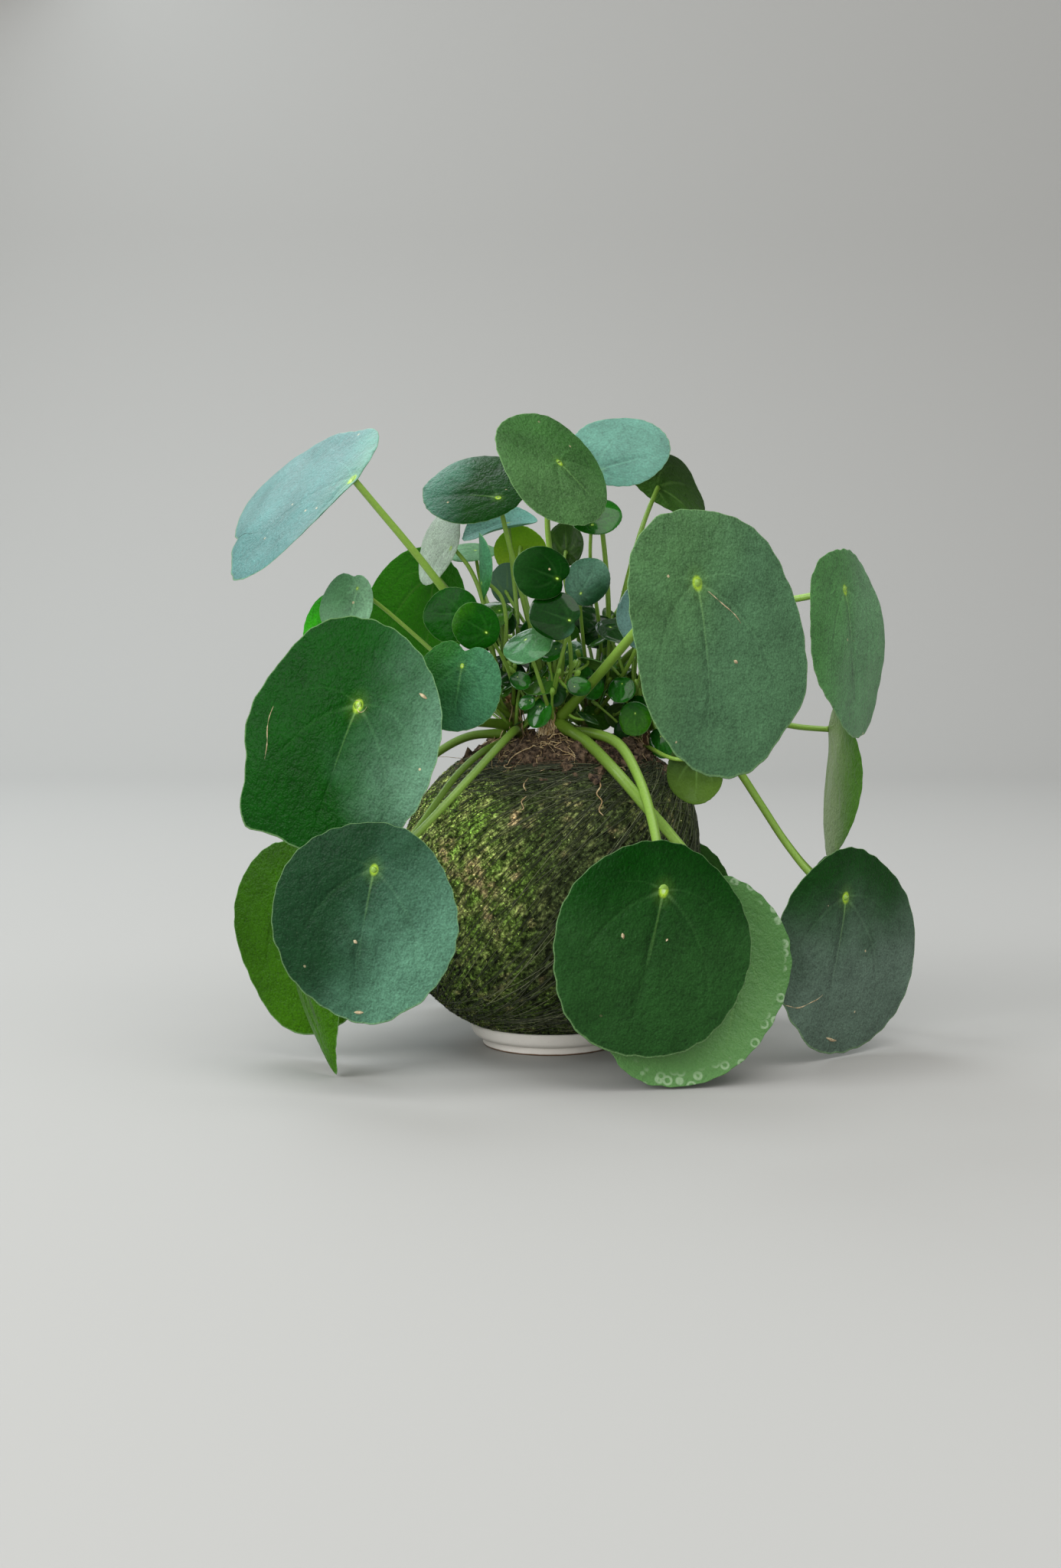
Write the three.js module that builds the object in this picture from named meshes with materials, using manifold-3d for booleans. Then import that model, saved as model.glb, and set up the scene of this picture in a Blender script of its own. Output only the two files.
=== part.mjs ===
// A moss ball plant: a round-leaved pilea that grows out of a ball of soil wrapped in moss and
// thread, on a small white saucer. Millimetres, +Z up. The origin is the middle of the saucer's
// underside, and the front of the plant faces -Y.
import * as THREE from "three";
import { mergeVertices } from "three/addons/utils/BufferGeometryUtils.js";
import Module from "manifold-3d";

const wasm = await Module();
wasm.setup();

// Driving dimensions
const FIT_GAP = 0.3;
const BALL = { radius: 76.5, halfHeight: 75.5, centreZ: 81.5, squareness: 2.5 };
const BALL_TOP_SHIFT = { x: 6, fromZ: 90, toZ: 150 };
const MOSS_THICKNESS = 6;
const MOSS_OPENING_RADIUS = 52;
const SOIL = { lipRadius: 49.6, lipZ: 143.5, topZ: 157, lump: 0.9, holeDepth: 12 };
const SAUCER = { footRadius: 34, footHeight: 3.8, rimRadius: 40.2, rimZ: 11.8, floorZ: 4.6, floorRadius: 26, edge: 0.6 };
const THREAD = { radius: 0.6, sides: 3, steps: 28, clearance: 1.1, tilt: 48, loops: 3, beltZ: 132 };
const BLADE_THICKNESS = 0.8;
const PETIOLE = { thin: 1.2, perLength: 0.03, taper: 0.72, sink: 2.5, sides: 5 };
const STALK_CLEARANCE = 6;
const STALK_FEET = { lowest: 0.1, highest: 0.96, leanAllowance: 0.08 };
const STEM_SIDES = 12;
const STEM_TAPER = { foot: 0.96, top: 0.88 };
const TIP_TAPER = { foot: 0.8, end: 0.3 };
const LATHE_SEGMENTS = 32;

// The woody stems, each from its foot in the soil to its top, and the green tip that stands on it
const STEMS = {
  left: { foot: [-16, -8, 153], top: [-21, -8, 186], radius: 5, tip: 9 },
  centre: { foot: [3, -14, 155], top: [1, -17, 181], radius: 4, tip: 8 },
  back: { foot: [20, 26, 151], top: [23, 29, 184], radius: 5, tip: 9 },
  right: { foot: [47, 8, 147], top: [45, 4, 174], radius: 5.5, tip: 7 },
};

// One row a leaf: name, stem, where the leaf stalk meets the blade, which way the blade faces
// (compass angle from the front, height above level, turn of the tip from straight down), the
// blade's length, width, share of the length behind the stalk and share of the width on its
// left, the bend across and along the blade, and how the stalk sets out (height up the stem,
// swing from the straight way, rise), and what its edge has besides the ellipse: dips, or bumps
// where the depth is negative, each as angle from the tip, depth and spread.
// The front faces 0 degrees, and angles grow towards +X.
const LEAVES = [
  ["leaf_left_low", "left", [-80, -129, 105.7], [-12, 6, -10], [91.7, 87.8, 0.23, 0.51], [8, 8], [0.14, 34, 16], []],
  ["leaf_left_big", "left", [-89, -100, 178], [-20, 14, -18], [112, 101, 0.35, 0.53], [6, 10], [0.26, -4, 6],
    [[-36, -0.15, 12], [-62, 0.04, 12], [-140, -0.05, 20], [140, 0.05, 24]]],
  ["leaf_left_low_behind", "left", [-124, -42, 83.5], [-24, 2, 12], [97, 72, 0.26, 0.57], [6, 8], [0.1, -14, 8], []],
  ["leaf_left_hanging_tip", "left", [-122, -72, 58.4], [-58, -5, 17], [73, 41, 0.26, 0.5], [20, 6], [0, 24, 0],
    [[0, -0.12, 16]]],
  ["leaf_top_left", "left", [-95, -50, 284], [-53, 41, -17], [100, 95.5, 0.336, 0.934], [4, 6], [0.8, 0, 66],
    [[103, 0.04, 17], [-162, 0.27, 33], [13, -0.11, 22], [-83, -0.22, 31]]],
  ["leaf_left_back", "left", [-61, 58, 239], [-150, 16, 0], [73, 61, 0.2, 0.36], [6, 6], [0.56, 0, 44], []],
  ["leaf_left_small", "left", [-96, -10, 231.5], [-25, 16, -6], [34, 31, 0.25, 0.66], [8, 4], [0.5, -8, 36],
    [[180, 0.3, 16]]],
  ["leaf_left_sliver", "left", [-112, 24, 217], [-40, 12, 0], [44, 42, 0.3, 0.5], [6, 6], [0.4, 6, 30], []],
  ["leaf_left_pale_upright", "left", [-50, 8, 252], [-56, 20, 0], [43, 38, 0.54, 0.86], [4, 2], [0.84, 0, 70], []],
  ["leaf_inner_left_heart", "left", [-42, -70, 195], [-15, 10, -8], [44, 45, 0.28, 0.53], [8, 6], [0.42, -10, 24],
    [[176, 0.42, 14]]],
  ["leaf_inner_left_round", "left", [-30.9, -52, 210.3], [-10, 5, -120], [24.6, 22.6, 0.25, 0.5], [8, 6], [0.62, 26, 46], []],
  ["leaf_inner_left_back", "left", [-43.1, -44, 219], [-20, 10, -90], [29.2, 27.2, 0.3, 0.5], [8, 6], [0.7, -4, 40], []],
  ["leaf_inner_top_left_curled", "left", [-21, 8, 264.5], [-10, 62, -62], [38, 30, 0.4, 0.5], [-14, 8], [0.98, -50, 80],
    [[0, -0.1, 14]]],
  ["leaf_inner_upright", "left", [-33.5, -30, 234], [-80, -5, 180], [33, 26, 0.25, 0.5], [34, 4], [0.98, 8, 62], []],
  ["leaf_inner_left_flat", "left", [-38.4, 44, 251.3], [0, 70, -90], [30, 28, 0.4, 0.5], [8, 6], [0.94, -20, 66], []],
  ["leaf_front_low", "centre", [51.3, -112, 93.6], [8, 10, -14], [101, 92, 0.22, 0.49], [6, 10], [0.1, 43, 14], []],
  ["leaf_front_low_turned", "centre", [79.5, -76, 63], [186, -20, 36], [110, 84, 0.3, 0.5], [6, 8], [0.3, -25, 22], []],
  ["leaf_front_right_big", "centre", [63, -150, 234], [30, 12, 3], [118, 97, 0.265, 0.39], [6, 10], [0.45, 26, 40],
    [[-140, -0.28, 26], [-88, 0.07, 18], [125, 0.06, 24], [38, 0.07, 20]]],
  ["leaf_inner_glossy", "centre", [-12, -52, 206.8], [-25, 50, -29], [26, 24, 0.46, 0.38], [8, 8], [0.3, 8, 40], []],
  ["leaf_inner_notched", "centre", [3, -62, 236], [0, 10, -112], [27.5, 26, 0.2, 0.5], [10, 6], [0.68, 66, 60],
    [[180, 0.5, 16]]],
  ["leaf_inner_two_lobed", "centre", [8.8, -64, 216.3], [-5, 8, -110], [25.3, 23.8, 0.2, 0.5], [26, 6], [0.58, -14, 46],
    [[180, 0.45, 16]]],
  ["leaf_top_inner_left", "centre", [-25.5, -20, 276], [-10, 42, -100], [55, 54, 0.23, 0.66], [8, 8], [0.94, -20, 78],
    [[0, -0.05, 14]]],
  ["leaf_top_centre", "centre", [4, -50, 291.5], [37, 30, 34], [65, 58, 0.5, 0.58], [8, 8], [0.96, 48, 76], []],
  ["leaf_inner_yellow", "centre", [-14.6, 28, 252.4], [165, 12, 0], [27.4, 28.4, 0.42, 0.5], [10, 6], [0.8, 0, 70], []],
  ["leaf_right_upper", "back", [143, -40, 231], [57, 6, 12], [93, 84, 0.21, 0.5], [6, 8], [0.8, 0, 62],
    [[-48, 0.10, 34], [-150, -0.26, 24], [30, -0.10, 24]]],
  ["leaf_top_right", "back", [23, -18, 289], [-5, 34, 112], [51, 46, 0.2, 0.3], [8, 8], [0.9, 100, 78], []],
  ["leaf_top_right_back", "back", [56.3, 30, 283.6], [150, 35, -56], [54, 38, 0.4, 0.76], [16, 28], [0.68, 40, 70],
    [[-45, 0.16, 24], [-95, -0.18, 24]]],
  ["leaf_inner_right_dark", "back", [15, -25, 229], [4, 6, 150], [25, 22, 0.22, 0.5], [10, 6], [0.6, 0, 50], []],
  ["leaf_inner_top_right", "back", [20.3, -34, 262.2], [12, 36, 118], [28.3, 24.5, 0.3, 0.3], [16, 8], [0.84, 34, 72], []],
  ["leaf_inner_top_back", "back", [9, 32, 250], [160, 4, 180], [23, 20, 0.3, 0.5], [16, 6], [0.94, -60, 74], []],
  ["leaf_behind_front_right", "back", [48, -58, 224], [-10, 4, 0], [36, 34, 0.35, 0.5], [8, 6], [0.45, 10, 30], []],
  ["leaf_inner_right_flat", "back", [30.3, -4, 212], [10, 58, 60], [24, 22, 0.3, 0.5], [8, 6], [0.6, 30, 50], []],
  ["leaf_inner_slate", "back", [-21.5, 22, 229], [172, 0, 180], [21, 18, 0.25, 0.5], [8, 6], [0.7, 0, 52], []],
  ["leaf_right_low", "right", [146, -36, 80], [38, 6, -16], [103, 94, 0.25, 0.41], [6, 8], [0.55, 0, 30],
    [[-62, -0.05, 9], [75, -0.05, 26], [140, -0.04, 22]]],
  ["leaf_right_folded", "right", [147, 36, 158.4], [88, 1, 0], [78, 62, 0.17, 0.86], [-13, 6], [0.7, 0, 20], []],
  ["leaf_right_shoulder", "right", [71.5, -40, 149], [150, 8, 0], [33, 31, 0.3, 0.5], [8, 6], [0.05, -14, 12], []],
  ["leaf_inner_right_low", "right", [42, -26, 170], [-10, 14, 0], [17.5, 16.5, 0.35, 0.5], [8, 6], [0.3, 0, 20], []],
  ["leaf_back_right_upper", "right", [92, 88, 205], [150, 12, 0], [78, 72, 0.28, 0.5], [6, 8], [0.8, 0, 44], []],
  ["leaf_back_top_right", "right", [92, 62, 240], [160, 34, 10], [56, 52, 0.34, 0.5], [8, 8], [0.95, 45, 66], []],
  ["leaf_back_right_side", "right", [156, 40, 75], [128, 6, 0], [66, 62, 0.26, 0.5], [8, 8], [0.5, 0, 29], []],
  ["leaf_back_right_low", "right", [70, 104, 76], [165, 8, 0], [74, 70, 0.26, 0.5], [8, 8], [0.1, 0, 24], []],
  ["leaf_back_left_upper", "back", [-67, 97, 222], [198, 16, 0], [50, 46, 0.28, 0.5], [6, 8], [0.66, -50, 50], []],
  ["leaf_back_left", "back", [-106, 84, 172], [212, 10, 0], [80, 74, 0.26, 0.5], [6, 8], [0.3, 0, 34], []],
  ["leaf_back_low", "back", [0, 128, 100], [182, 10, 0], [94, 86, 0.26, 0.5], [6, 8], [0.1, 0, 26], []],
  ["leaf_back_left_low", "back", [-52, 112, 76], [202, 4, 0], [82, 76, 0.26, 0.5], [6, 8], [0.12, 14, 18], []],
];

// The young leaves of each crown, in the same form, all grown together with the green tip
const YOUNG_LEAVES = [
  ["young_a", "centre", [11.5, -45, 184], [20, 30, 100], [13, 11, 0.3, 0.5], [10, 6], [0.6, 0, 30], []],
  ["young_b", "centre", [-10, -39, 177], [-20, 25, -60], [9, 8, 0.3, 0.5], [10, 6], [0.3, 0, 30], []],
  ["young_c", "back", [15, 2, 190], [5, 12, 20], [14, 13, 0.3, 0.5], [10, 6], [0.5, 0, 40], []],
  ["young_d", "back", [22.5, 1, 184], [10, 16, -20], [13, 12, 0.3, 0.5], [10, 6], [0.6, 0, 40], []],
  ["young_e", "left", [-16, -31, 188], [-10, 40, 40], [12, 10, 0.3, 0.5], [10, 6], [0.5, 0, 40], []],
  ["young_f", "right", [36, -14, 184], [-10, 40, 0], [16, 14, 0.3, 0.5], [14, 6], [0.5, 0, 50], []],
  ["young_g", "right", [60, 20, 196], [120, 40, 0], [18, 16, 0.3, 0.5], [10, 6], [0.6, 0, 60], []],
];
const STALKS_OVER_BALL = {
  leaf_front_low: [[21, -24, 160], [34, -38, 155], [43, -58, 139], [48, -79, 121], [50.5, -97, 104]],
  leaf_front_low_turned: [[17, -33, 157], [32, -57, 143], [45, -63.5, 128], [57, -64.5, 114.5], [68, -73, 100],
    [77, -88, 78]],
};

// Colours and finishes
const finish = (color, roughness) => new THREE.MeshStandardMaterial({ color, roughness, metalness: 0 });
const FINISH = {
  leaf: finish(0x2f5e3a, 0.42),
  crown: finish(0x6f8f3c, 0.5),
  wood: finish(0x6a4a2e, 0.85),
  soil: finish(0x2c1d15, 0.95),
  moss: finish(0x4a5524, 0.95),
  thread: finish(0x1b2418, 0.5),
  saucer: finish(0xe4e0d8, 0.6),
};

const radians = THREE.MathUtils.degToRad;
const vector = (values) => new THREE.Vector3(...values);

// Solids

function toSolid(geometry) {
  const bare = geometry.clone();
  bare.deleteAttribute("normal");
  bare.deleteAttribute("uv");
  const merged = mergeVertices(bare, 1e-4);
  return new wasm.Manifold(new wasm.Mesh({
    numProp: 3,
    vertProperties: new Float32Array(merged.attributes.position.array),
    triVerts: new Uint32Array(merged.index.array),
  }));
}

function toGeometry(solid) {
  const mesh = solid.getMesh();
  const geometry = new THREE.BufferGeometry();
  geometry.setAttribute("position", new THREE.BufferAttribute(mesh.vertProperties, 3));
  geometry.setIndex(new THREE.BufferAttribute(mesh.triVerts, 1));
  geometry.computeVertexNormals();
  return geometry;
}

function meshOf(name, geometry, material) {
  const mesh = new THREE.Mesh(geometry, material);
  mesh.name = name;
  return mesh;
}

function closedGeometry(points, triangles) {
  const geometry = new THREE.BufferGeometry();
  geometry.setAttribute("position", new THREE.Float32BufferAttribute(points.flatMap((p) => p.toArray()), 3));
  geometry.setIndex(triangles.flat());
  return geometry;
}

// A closed tube: rings of a regular polygon square to the path, capped at both ends. The path
// is a list of points, and a ring's radius may change along it. A loop joins its last ring to
// its first and has no caps.
function sweep(path, radiusAt, sides, { loop = false, endAlong = null } = {}) {
  const count = path.length;
  const points = [];
  const triangles = [];
  let side = null;
  for (let i = 0; i < count; i += 1) {
    const before = path[loop ? (i + count - 1) % count : Math.max(i - 1, 0)];
    const after = path[loop ? (i + 1) % count : Math.min(i + 1, count - 1)];
    const along = after.clone().sub(before).normalize();
    if (endAlong && i === count - 1) along.copy(endAlong);
    if (!side) side = Math.abs(along.z) < 0.9 ? new THREE.Vector3(0, 0, 1) : new THREE.Vector3(1, 0, 0);
    side = side.clone().addScaledVector(along, -side.dot(along)).normalize();
    const other = along.clone().cross(side);
    const radius = radiusAt(count > 1 ? i / (count - 1) : 0);
    for (let k = 0; k < sides; k += 1) {
      const angle = (2 * Math.PI * k) / sides;
      points.push(path[i].clone()
        .addScaledVector(side, radius * Math.cos(angle))
        .addScaledVector(other, radius * Math.sin(angle)));
    }
  }
  const spans = loop ? count : count - 1;
  for (let i = 0; i < spans; i += 1) {
    for (let k = 0; k < sides; k += 1) {
      const next = (k + 1) % sides;
      const a = i * sides + k;
      const b = i * sides + next;
      const c = ((i + 1) % count) * sides + k;
      const d = ((i + 1) % count) * sides + next;
      triangles.push([a, b, c], [b, d, c]);
    }
  }
  if (!loop) {
    const last = (count - 1) * sides;
    for (let k = 1; k < sides - 1; k += 1) {
      triangles.push([0, k + 1, k], [last, last + k, last + k + 1]);
    }
  }
  return closedGeometry(points, triangles);
}

// The ball

const BALL_POWER = BALL.squareness;

// The height of the ball's surface at a distance from its axis, a given depth below the moss
function ballZAt(radius, inset, upper) {
  const share = Math.min(radius / (BALL.radius - inset), 1);
  const height = (BALL.halfHeight - inset) * (1 - share ** BALL_POWER) ** (1 / BALL_POWER);
  return BALL.centreZ + (upper ? height : -height);
}

// The profile of the ball from the middle of its underside round to a given radius on top
function ballProfile(inset, topRadius, steps) {
  const start = -Math.PI / 2;
  const end = Math.acos(Math.min((topRadius / (BALL.radius - inset)) ** (BALL_POWER / 2), 1));
  return Array.from({ length: steps + 1 }, (_, i) => {
    const angle = start + ((end - start) * i) / steps;
    const radius = (BALL.radius - inset) * Math.max(Math.cos(angle), 0) ** (2 / BALL_POWER);
    return new THREE.Vector2(i === 0 ? 0 : radius, ballZAt(radius, inset, angle > 0));
  });
}

function topShift(z) {
  return BALL_TOP_SHIFT.x * THREE.MathUtils.smoothstep(z, BALL_TOP_SHIFT.fromZ, BALL_TOP_SHIFT.toZ);
}

// A lathe turned about Z, with its top moved sideways as the ball's is
function turned(profile, segments, shifted = true) {
  const geometry = new THREE.LatheGeometry(profile, segments);
  geometry.rotateX(Math.PI / 2);
  const position = geometry.attributes.position;
  for (let i = 0; shifted && i < position.count; i += 1) {
    position.setX(i, position.getX(i) + topShift(position.getZ(i)));
  }
  return geometry;
}

// The point of the ball's surface that lies out from its centre along a direction, with a gap
function ballSurfacePoint(direction, gap) {
  const flat = Math.hypot(direction.x, direction.y);
  const reach = ((flat / BALL.radius) ** BALL_POWER
    + (Math.abs(direction.z) / BALL.halfHeight) ** BALL_POWER) ** (-1 / BALL_POWER);
  const point = direction.clone().multiplyScalar(reach + gap);
  point.z += BALL.centreZ;
  point.x += topShift(point.z);
  return point;
}

// A point of a leaf stalk, moved out over the ball where the straight curve would pass through it
function clearOfBall(point) {
  const out = point.clone();
  out.z -= BALL.centreZ;
  out.x -= topShift(point.z);
  if (Math.hypot(out.x, out.y) < MOSS_OPENING_RADIUS && out.z > 0) return point;
  const surface = ballSurfacePoint(out.clone().normalize(), STALK_CLEARANCE);
  const reach = Math.hypot(surface.x - topShift(surface.z), surface.y, surface.z - BALL.centreZ);
  return out.length() < reach ? surface : point;
}

function makeMoss() {
  const outer = ballProfile(0, MOSS_OPENING_RADIUS, 11);
  const inner = ballProfile(MOSS_THICKNESS, MOSS_OPENING_RADIUS - 2, 6).reverse();
  return toGeometry(toSolid(turned([...outer, ...inner], LATHE_SEGMENTS)));
}

function makeSoil() {
  const side = ballProfile(MOSS_THICKNESS + 2 * FIT_GAP, SOIL.lipRadius, 6);
  const mound = [1, 0.84, 0.62, 0.38, 0.16, 0].map((share) => new THREE.Vector2(
    SOIL.lipRadius * share,
    SOIL.lipZ + (SOIL.topZ - SOIL.lipZ) * (1 - share ** 2),
  ));
  const geometry = turned([...side, ...mound], LATHE_SEGMENTS);
  const position = geometry.attributes.position;
  for (let i = 0; i < position.count; i += 1) {
    const [x, y, z] = [position.getX(i), position.getY(i), position.getZ(i)];
    if (z > SOIL.lipZ + 1) {
      position.setZ(i, z + SOIL.lump * (Math.sin(0.23 * x + 0.4) * Math.cos(0.29 * y) - 0.5));
    }
  }
  const holes = Object.values(STEMS).map((stem) => toSolid(stemTube(stem, FIT_GAP, SOIL.holeDepth + 1)));
  return toGeometry(holes.reduce((solid, hole) => solid.subtract(hole), toSolid(geometry)));
}

function makeThread() {
  const loopAt = (turn, tilt, rise) => Array.from({ length: THREAD.steps }, (_, i) => {
    const angle = (2 * Math.PI * i) / THREAD.steps;
    const direction = new THREE.Vector3(Math.cos(angle), Math.sin(angle), rise).normalize();
    direction.applyAxisAngle(new THREE.Vector3(1, 0, 0), tilt);
    direction.applyAxisAngle(new THREE.Vector3(0, 0, 1), turn);
    return ballSurfacePoint(direction, THREAD.radius + THREAD.clearance);
  });
  const loops = Array.from({ length: THREAD.loops }, (_, i) => loopAt(
    (2 * Math.PI * (i + 0.3)) / THREAD.loops,
    radians(THREAD.tilt),
    0,
  ));
  const beltRise = (THREAD.beltZ - BALL.centreZ) / BALL.radius;
  loops.push(loopAt(0, 0, beltRise));
  const solids = loops.map((path) => toSolid(
    sweep(path, () => THREAD.radius, THREAD.sides, { loop: true })));
  return toGeometry(solids.reduce((all, one) => all.add(one)));
}

// The saucer, a shallow dish on a stepped foot

function makeSaucer() {
  const { footRadius, footHeight, rimRadius, rimZ, floorZ, floorRadius, edge } = SAUCER;
  const middleZ = (footHeight + rimZ) / 2;
  const profile = [
    [0, 0], [footRadius - edge, 0], [footRadius, edge], [footRadius, footHeight],
    [footRadius + 2.5 * edge, footHeight + edge / 2], [rimRadius - 2 * edge, middleZ],
    [rimRadius, rimZ - 1.5 * edge], [rimRadius - edge, rimZ], [rimRadius - 3 * edge, rimZ - 2 * edge],
    [rimRadius - 7 * edge, middleZ + edge], [floorRadius + 8 * edge, floorZ + edge],
    [floorRadius, floorZ], [0, floorZ],
  ].map(([x, z]) => new THREE.Vector2(x, z));
  return toGeometry(toSolid(turned(profile, LATHE_SEGMENTS, false)));
}

// Stems and their green tips

function stemTube(stem, grow, below) {
  const foot = vector(stem.foot);
  const top = vector(stem.top);
  const start = foot.clone().addScaledVector(stemWay(stem), -below);
  const rings = [start, foot, foot.clone().lerp(top, 0.5), top];
  const shares = [-below / foot.distanceTo(top), 0, 0.5, 1];
  return sweep(rings, (t) => stemRadius(stem, shares[Math.round(t * 3)]) + grow, STEM_SIDES);
}

function stemRadius(stem, share) {
  return stem.radius * (STEM_TAPER.foot + (STEM_TAPER.top - STEM_TAPER.foot) * share);
}

function stemWay(stem) {
  return vector(stem.top).sub(vector(stem.foot)).normalize();
}

function stemPoint(stem, share) {
  return vector(stem.foot).lerp(vector(stem.top), share);
}

function makeTip(stem) {
  const top = vector(stem.top);
  const along = stemWay(stem);
  const path = [FIT_GAP, stem.tip * 0.5, stem.tip].map((rise) => top.clone().addScaledVector(along, rise));
  return sweep(path, (t) => stem.radius * (TIP_TAPER.foot + (TIP_TAPER.end - TIP_TAPER.foot) * t), STEM_SIDES);
}

// Leaves

// The frame of a blade: tip is the way to its tip, across its left-to-right, face its upper side
function bladeFrame([compass, height, turn]) {
  const [c, h, t] = [compass, height, turn].map(radians);
  const face = new THREE.Vector3(Math.cos(h) * Math.sin(c), -Math.cos(h) * Math.cos(c), Math.sin(h));
  const down = new THREE.Vector3(Math.sin(h) * Math.sin(c), -Math.sin(h) * Math.cos(c), -Math.cos(h));
  const right = face.clone().cross(down);
  const tip = down.clone().multiplyScalar(Math.cos(t)).addScaledVector(right, Math.sin(t));
  return { tip, across: face.clone().cross(tip), face };
}

// A point of a blade: share of the way from the stalk to the edge, angle round it, and height
// above the middle of its thickness. The edge is an ellipse set off from the stalk, with soft
// ripples and the dips of the table, and the blade is then bent across and along.
function bladePoint([, , at, facing, size, bend, , dips], number, share, angle, lift) {
  const [length, width, behind, leftShare] = size;
  const phase = number * 2.4;
  const ripple = 1 + 0.012 * Math.sin(5 * angle + phase) + 0.01 * Math.sin(3 * angle + 2 * phase);
  const cut = dips.reduce((left, [where, depth, spread]) => {
    const off = Math.atan2(Math.sin(angle - radians(where)), Math.cos(angle - radians(where)));
    return left - depth * Math.exp(-((off / radians(spread)) ** 2));
  }, 1);
  const edgeU = length * (0.5 - behind + 0.5 * Math.cos(angle) * ripple);
  const edgeV = width * (0.5 - leftShare + 0.5 * Math.sin(angle) * ripple);
  const u = share * edgeU * cut;
  const v = share * edgeV * cut;
  const wave = 0.012 * length * share ** 2 * Math.sin(3 * angle + 1.7 * phase);
  const acrossTurn = radians(bend[0]) / (0.5 * width);
  const alongTurn = radians(bend[1]) / (0.5 * length);
  const rv = 1 / acrossTurn + wave + lift;
  const bentV = rv * Math.sin(v * acrossTurn);
  const bentN = rv * Math.cos(v * acrossTurn) - 1 / acrossTurn;
  const ru = 1 / alongTurn + bentN;
  const bentU = ru * Math.sin(u * alongTurn);
  const height = ru * Math.cos(u * alongTurn) - 1 / alongTurn;
  const frame = bladeFrame(facing);
  return vector(at)
    .addScaledVector(frame.tip, bentU)
    .addScaledVector(frame.across, bentV)
    .addScaledVector(frame.face, height);
}

// The blade as one closed body, with the same rings and spokes on both faces
function makeBlade(row, number) {
  const length = row[4][0];
  const spokes = length > 70 ? 18 : length > 40 ? 14 : length > 22 ? 12 : 8;
  const rings = length > 70 ? [0.4, 0.76, 1] : length > 22 ? [0.6, 1] : [1];
  const faces = [0.5, -0.5].map((side) => side * BLADE_THICKNESS);
  const perFace = 1 + rings.length * spokes;
  const points = faces.flatMap((lift) => [
    bladePoint(row, number, 0, 0, lift),
    ...rings.flatMap((share) => Array.from({ length: spokes }, (_, k) => (
      bladePoint(row, number, share, (2 * Math.PI * k) / spokes, lift)))),
  ]);
  const triangles = [];
  for (let k = 0; k < spokes; k += 1) {
    const next = (k + 1) % spokes;
    const addBoth = (a, b, c) => triangles.push([a, b, c], [a + perFace, c + perFace, b + perFace]);
    addBoth(0, 1 + k, 1 + next);
    for (let r = 0; r < rings.length - 1; r += 1) {
      const inner = 1 + r * spokes;
      const outer = inner + spokes;
      addBoth(inner + k, outer + k, outer + next);
      addBoth(inner + k, outer + next, inner + next);
    }
    const edge = 1 + (rings.length - 1) * spokes;
    triangles.push([edge + k, edge + k + perFace, edge + next + perFace]);
    triangles.push([edge + k, edge + next + perFace, edge + next]);
  }
  return closedGeometry(points, triangles);
}

// The middle line of a leaf stalk, from the stem's bark to the blade's underside. The two stalks
// that cross in front of the ball go through places chosen by hand.
function stalkPath(row, start) {
  const [, , at, facing, size, , [, swing, rise]] = row;
  const blade = vector(at);
  const { face } = bladeFrame(facing);
  const under = blade.clone().addScaledVector(face, -PETIOLE.sink);
  const way = under.clone().sub(start.centre);
  const heading = Math.atan2(way.y, way.x) + radians(swing);
  const outward = new THREE.Vector3(Math.cos(heading), Math.sin(heading), 0);
  const setOut = outward.clone().multiplyScalar(Math.cos(radians(rise)));
  setOut.z = Math.sin(radians(rise));
  const foot = start.centre.clone().addScaledVector(outward, start.radius);
  const reach = foot.distanceTo(under);
  const arrive = face.clone().multiplyScalar(0.6)
    .addScaledVector(under.clone().sub(foot).normalize(), 0.4).normalize();
  const curve = new THREE.CubicBezierCurve3(
    foot,
    foot.clone().addScaledVector(setOut, 0.36 * reach),
    under.clone().addScaledVector(arrive, -0.34 * reach),
    under,
  );
  if (STALKS_OVER_BALL[row[0]]) return [foot, ...STALKS_OVER_BALL[row[0]].map(vector), under, blade];
  const steps = size[0] > 40 ? 7 : size[0] > 22 ? 5 : 3;
  return [...curve.getPoints(steps).map(clearOfBall), blade];
}

// Half of a stalk's thickness at its foot
function stalkThickness(row) {
  return (PETIOLE.thin + PETIOLE.perLength * row[4][0]) / 2;
}

function makeStalk(row, start) {
  const thick = stalkThickness(row);
  const { face } = bladeFrame(row[3]);
  const radiusAt = (t) => thick * (1 - (1 - PETIOLE.taper) * t);
  return sweep(stalkPath(row, start), radiusAt, PETIOLE.sides, { endAlong: face });
}

function leafSolid(row, number, start) {
  return toSolid(makeBlade(row, number)).add(toSolid(makeStalk(row, start)));
}

// A leaf whose stalk starts a fit gap away from its stem's bark. The stalk's first ring is square
// to its way, so the more the stalk rises, the further out the ring's middle starts.
function makeLeaf(row, number) {
  const stem = STEMS[row[1]];
  const share = STALK_FEET.lowest + row[6][0] * (STALK_FEET.highest - STALK_FEET.lowest);
  const centre = stemPoint(stem, share);
  const bark = stemRadius(stem, share);
  const [first, second] = stalkPath(row, { centre, radius: bark });
  const slant = Math.abs(second.clone().sub(first).normalize().z);
  const radius = bark + FIT_GAP + stalkThickness(row) * (slant + STALK_FEET.leanAllowance);
  return meshOf(row[0], toGeometry(leafSolid(row, number, { centre, radius })), FINISH.leaf);
}

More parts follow.
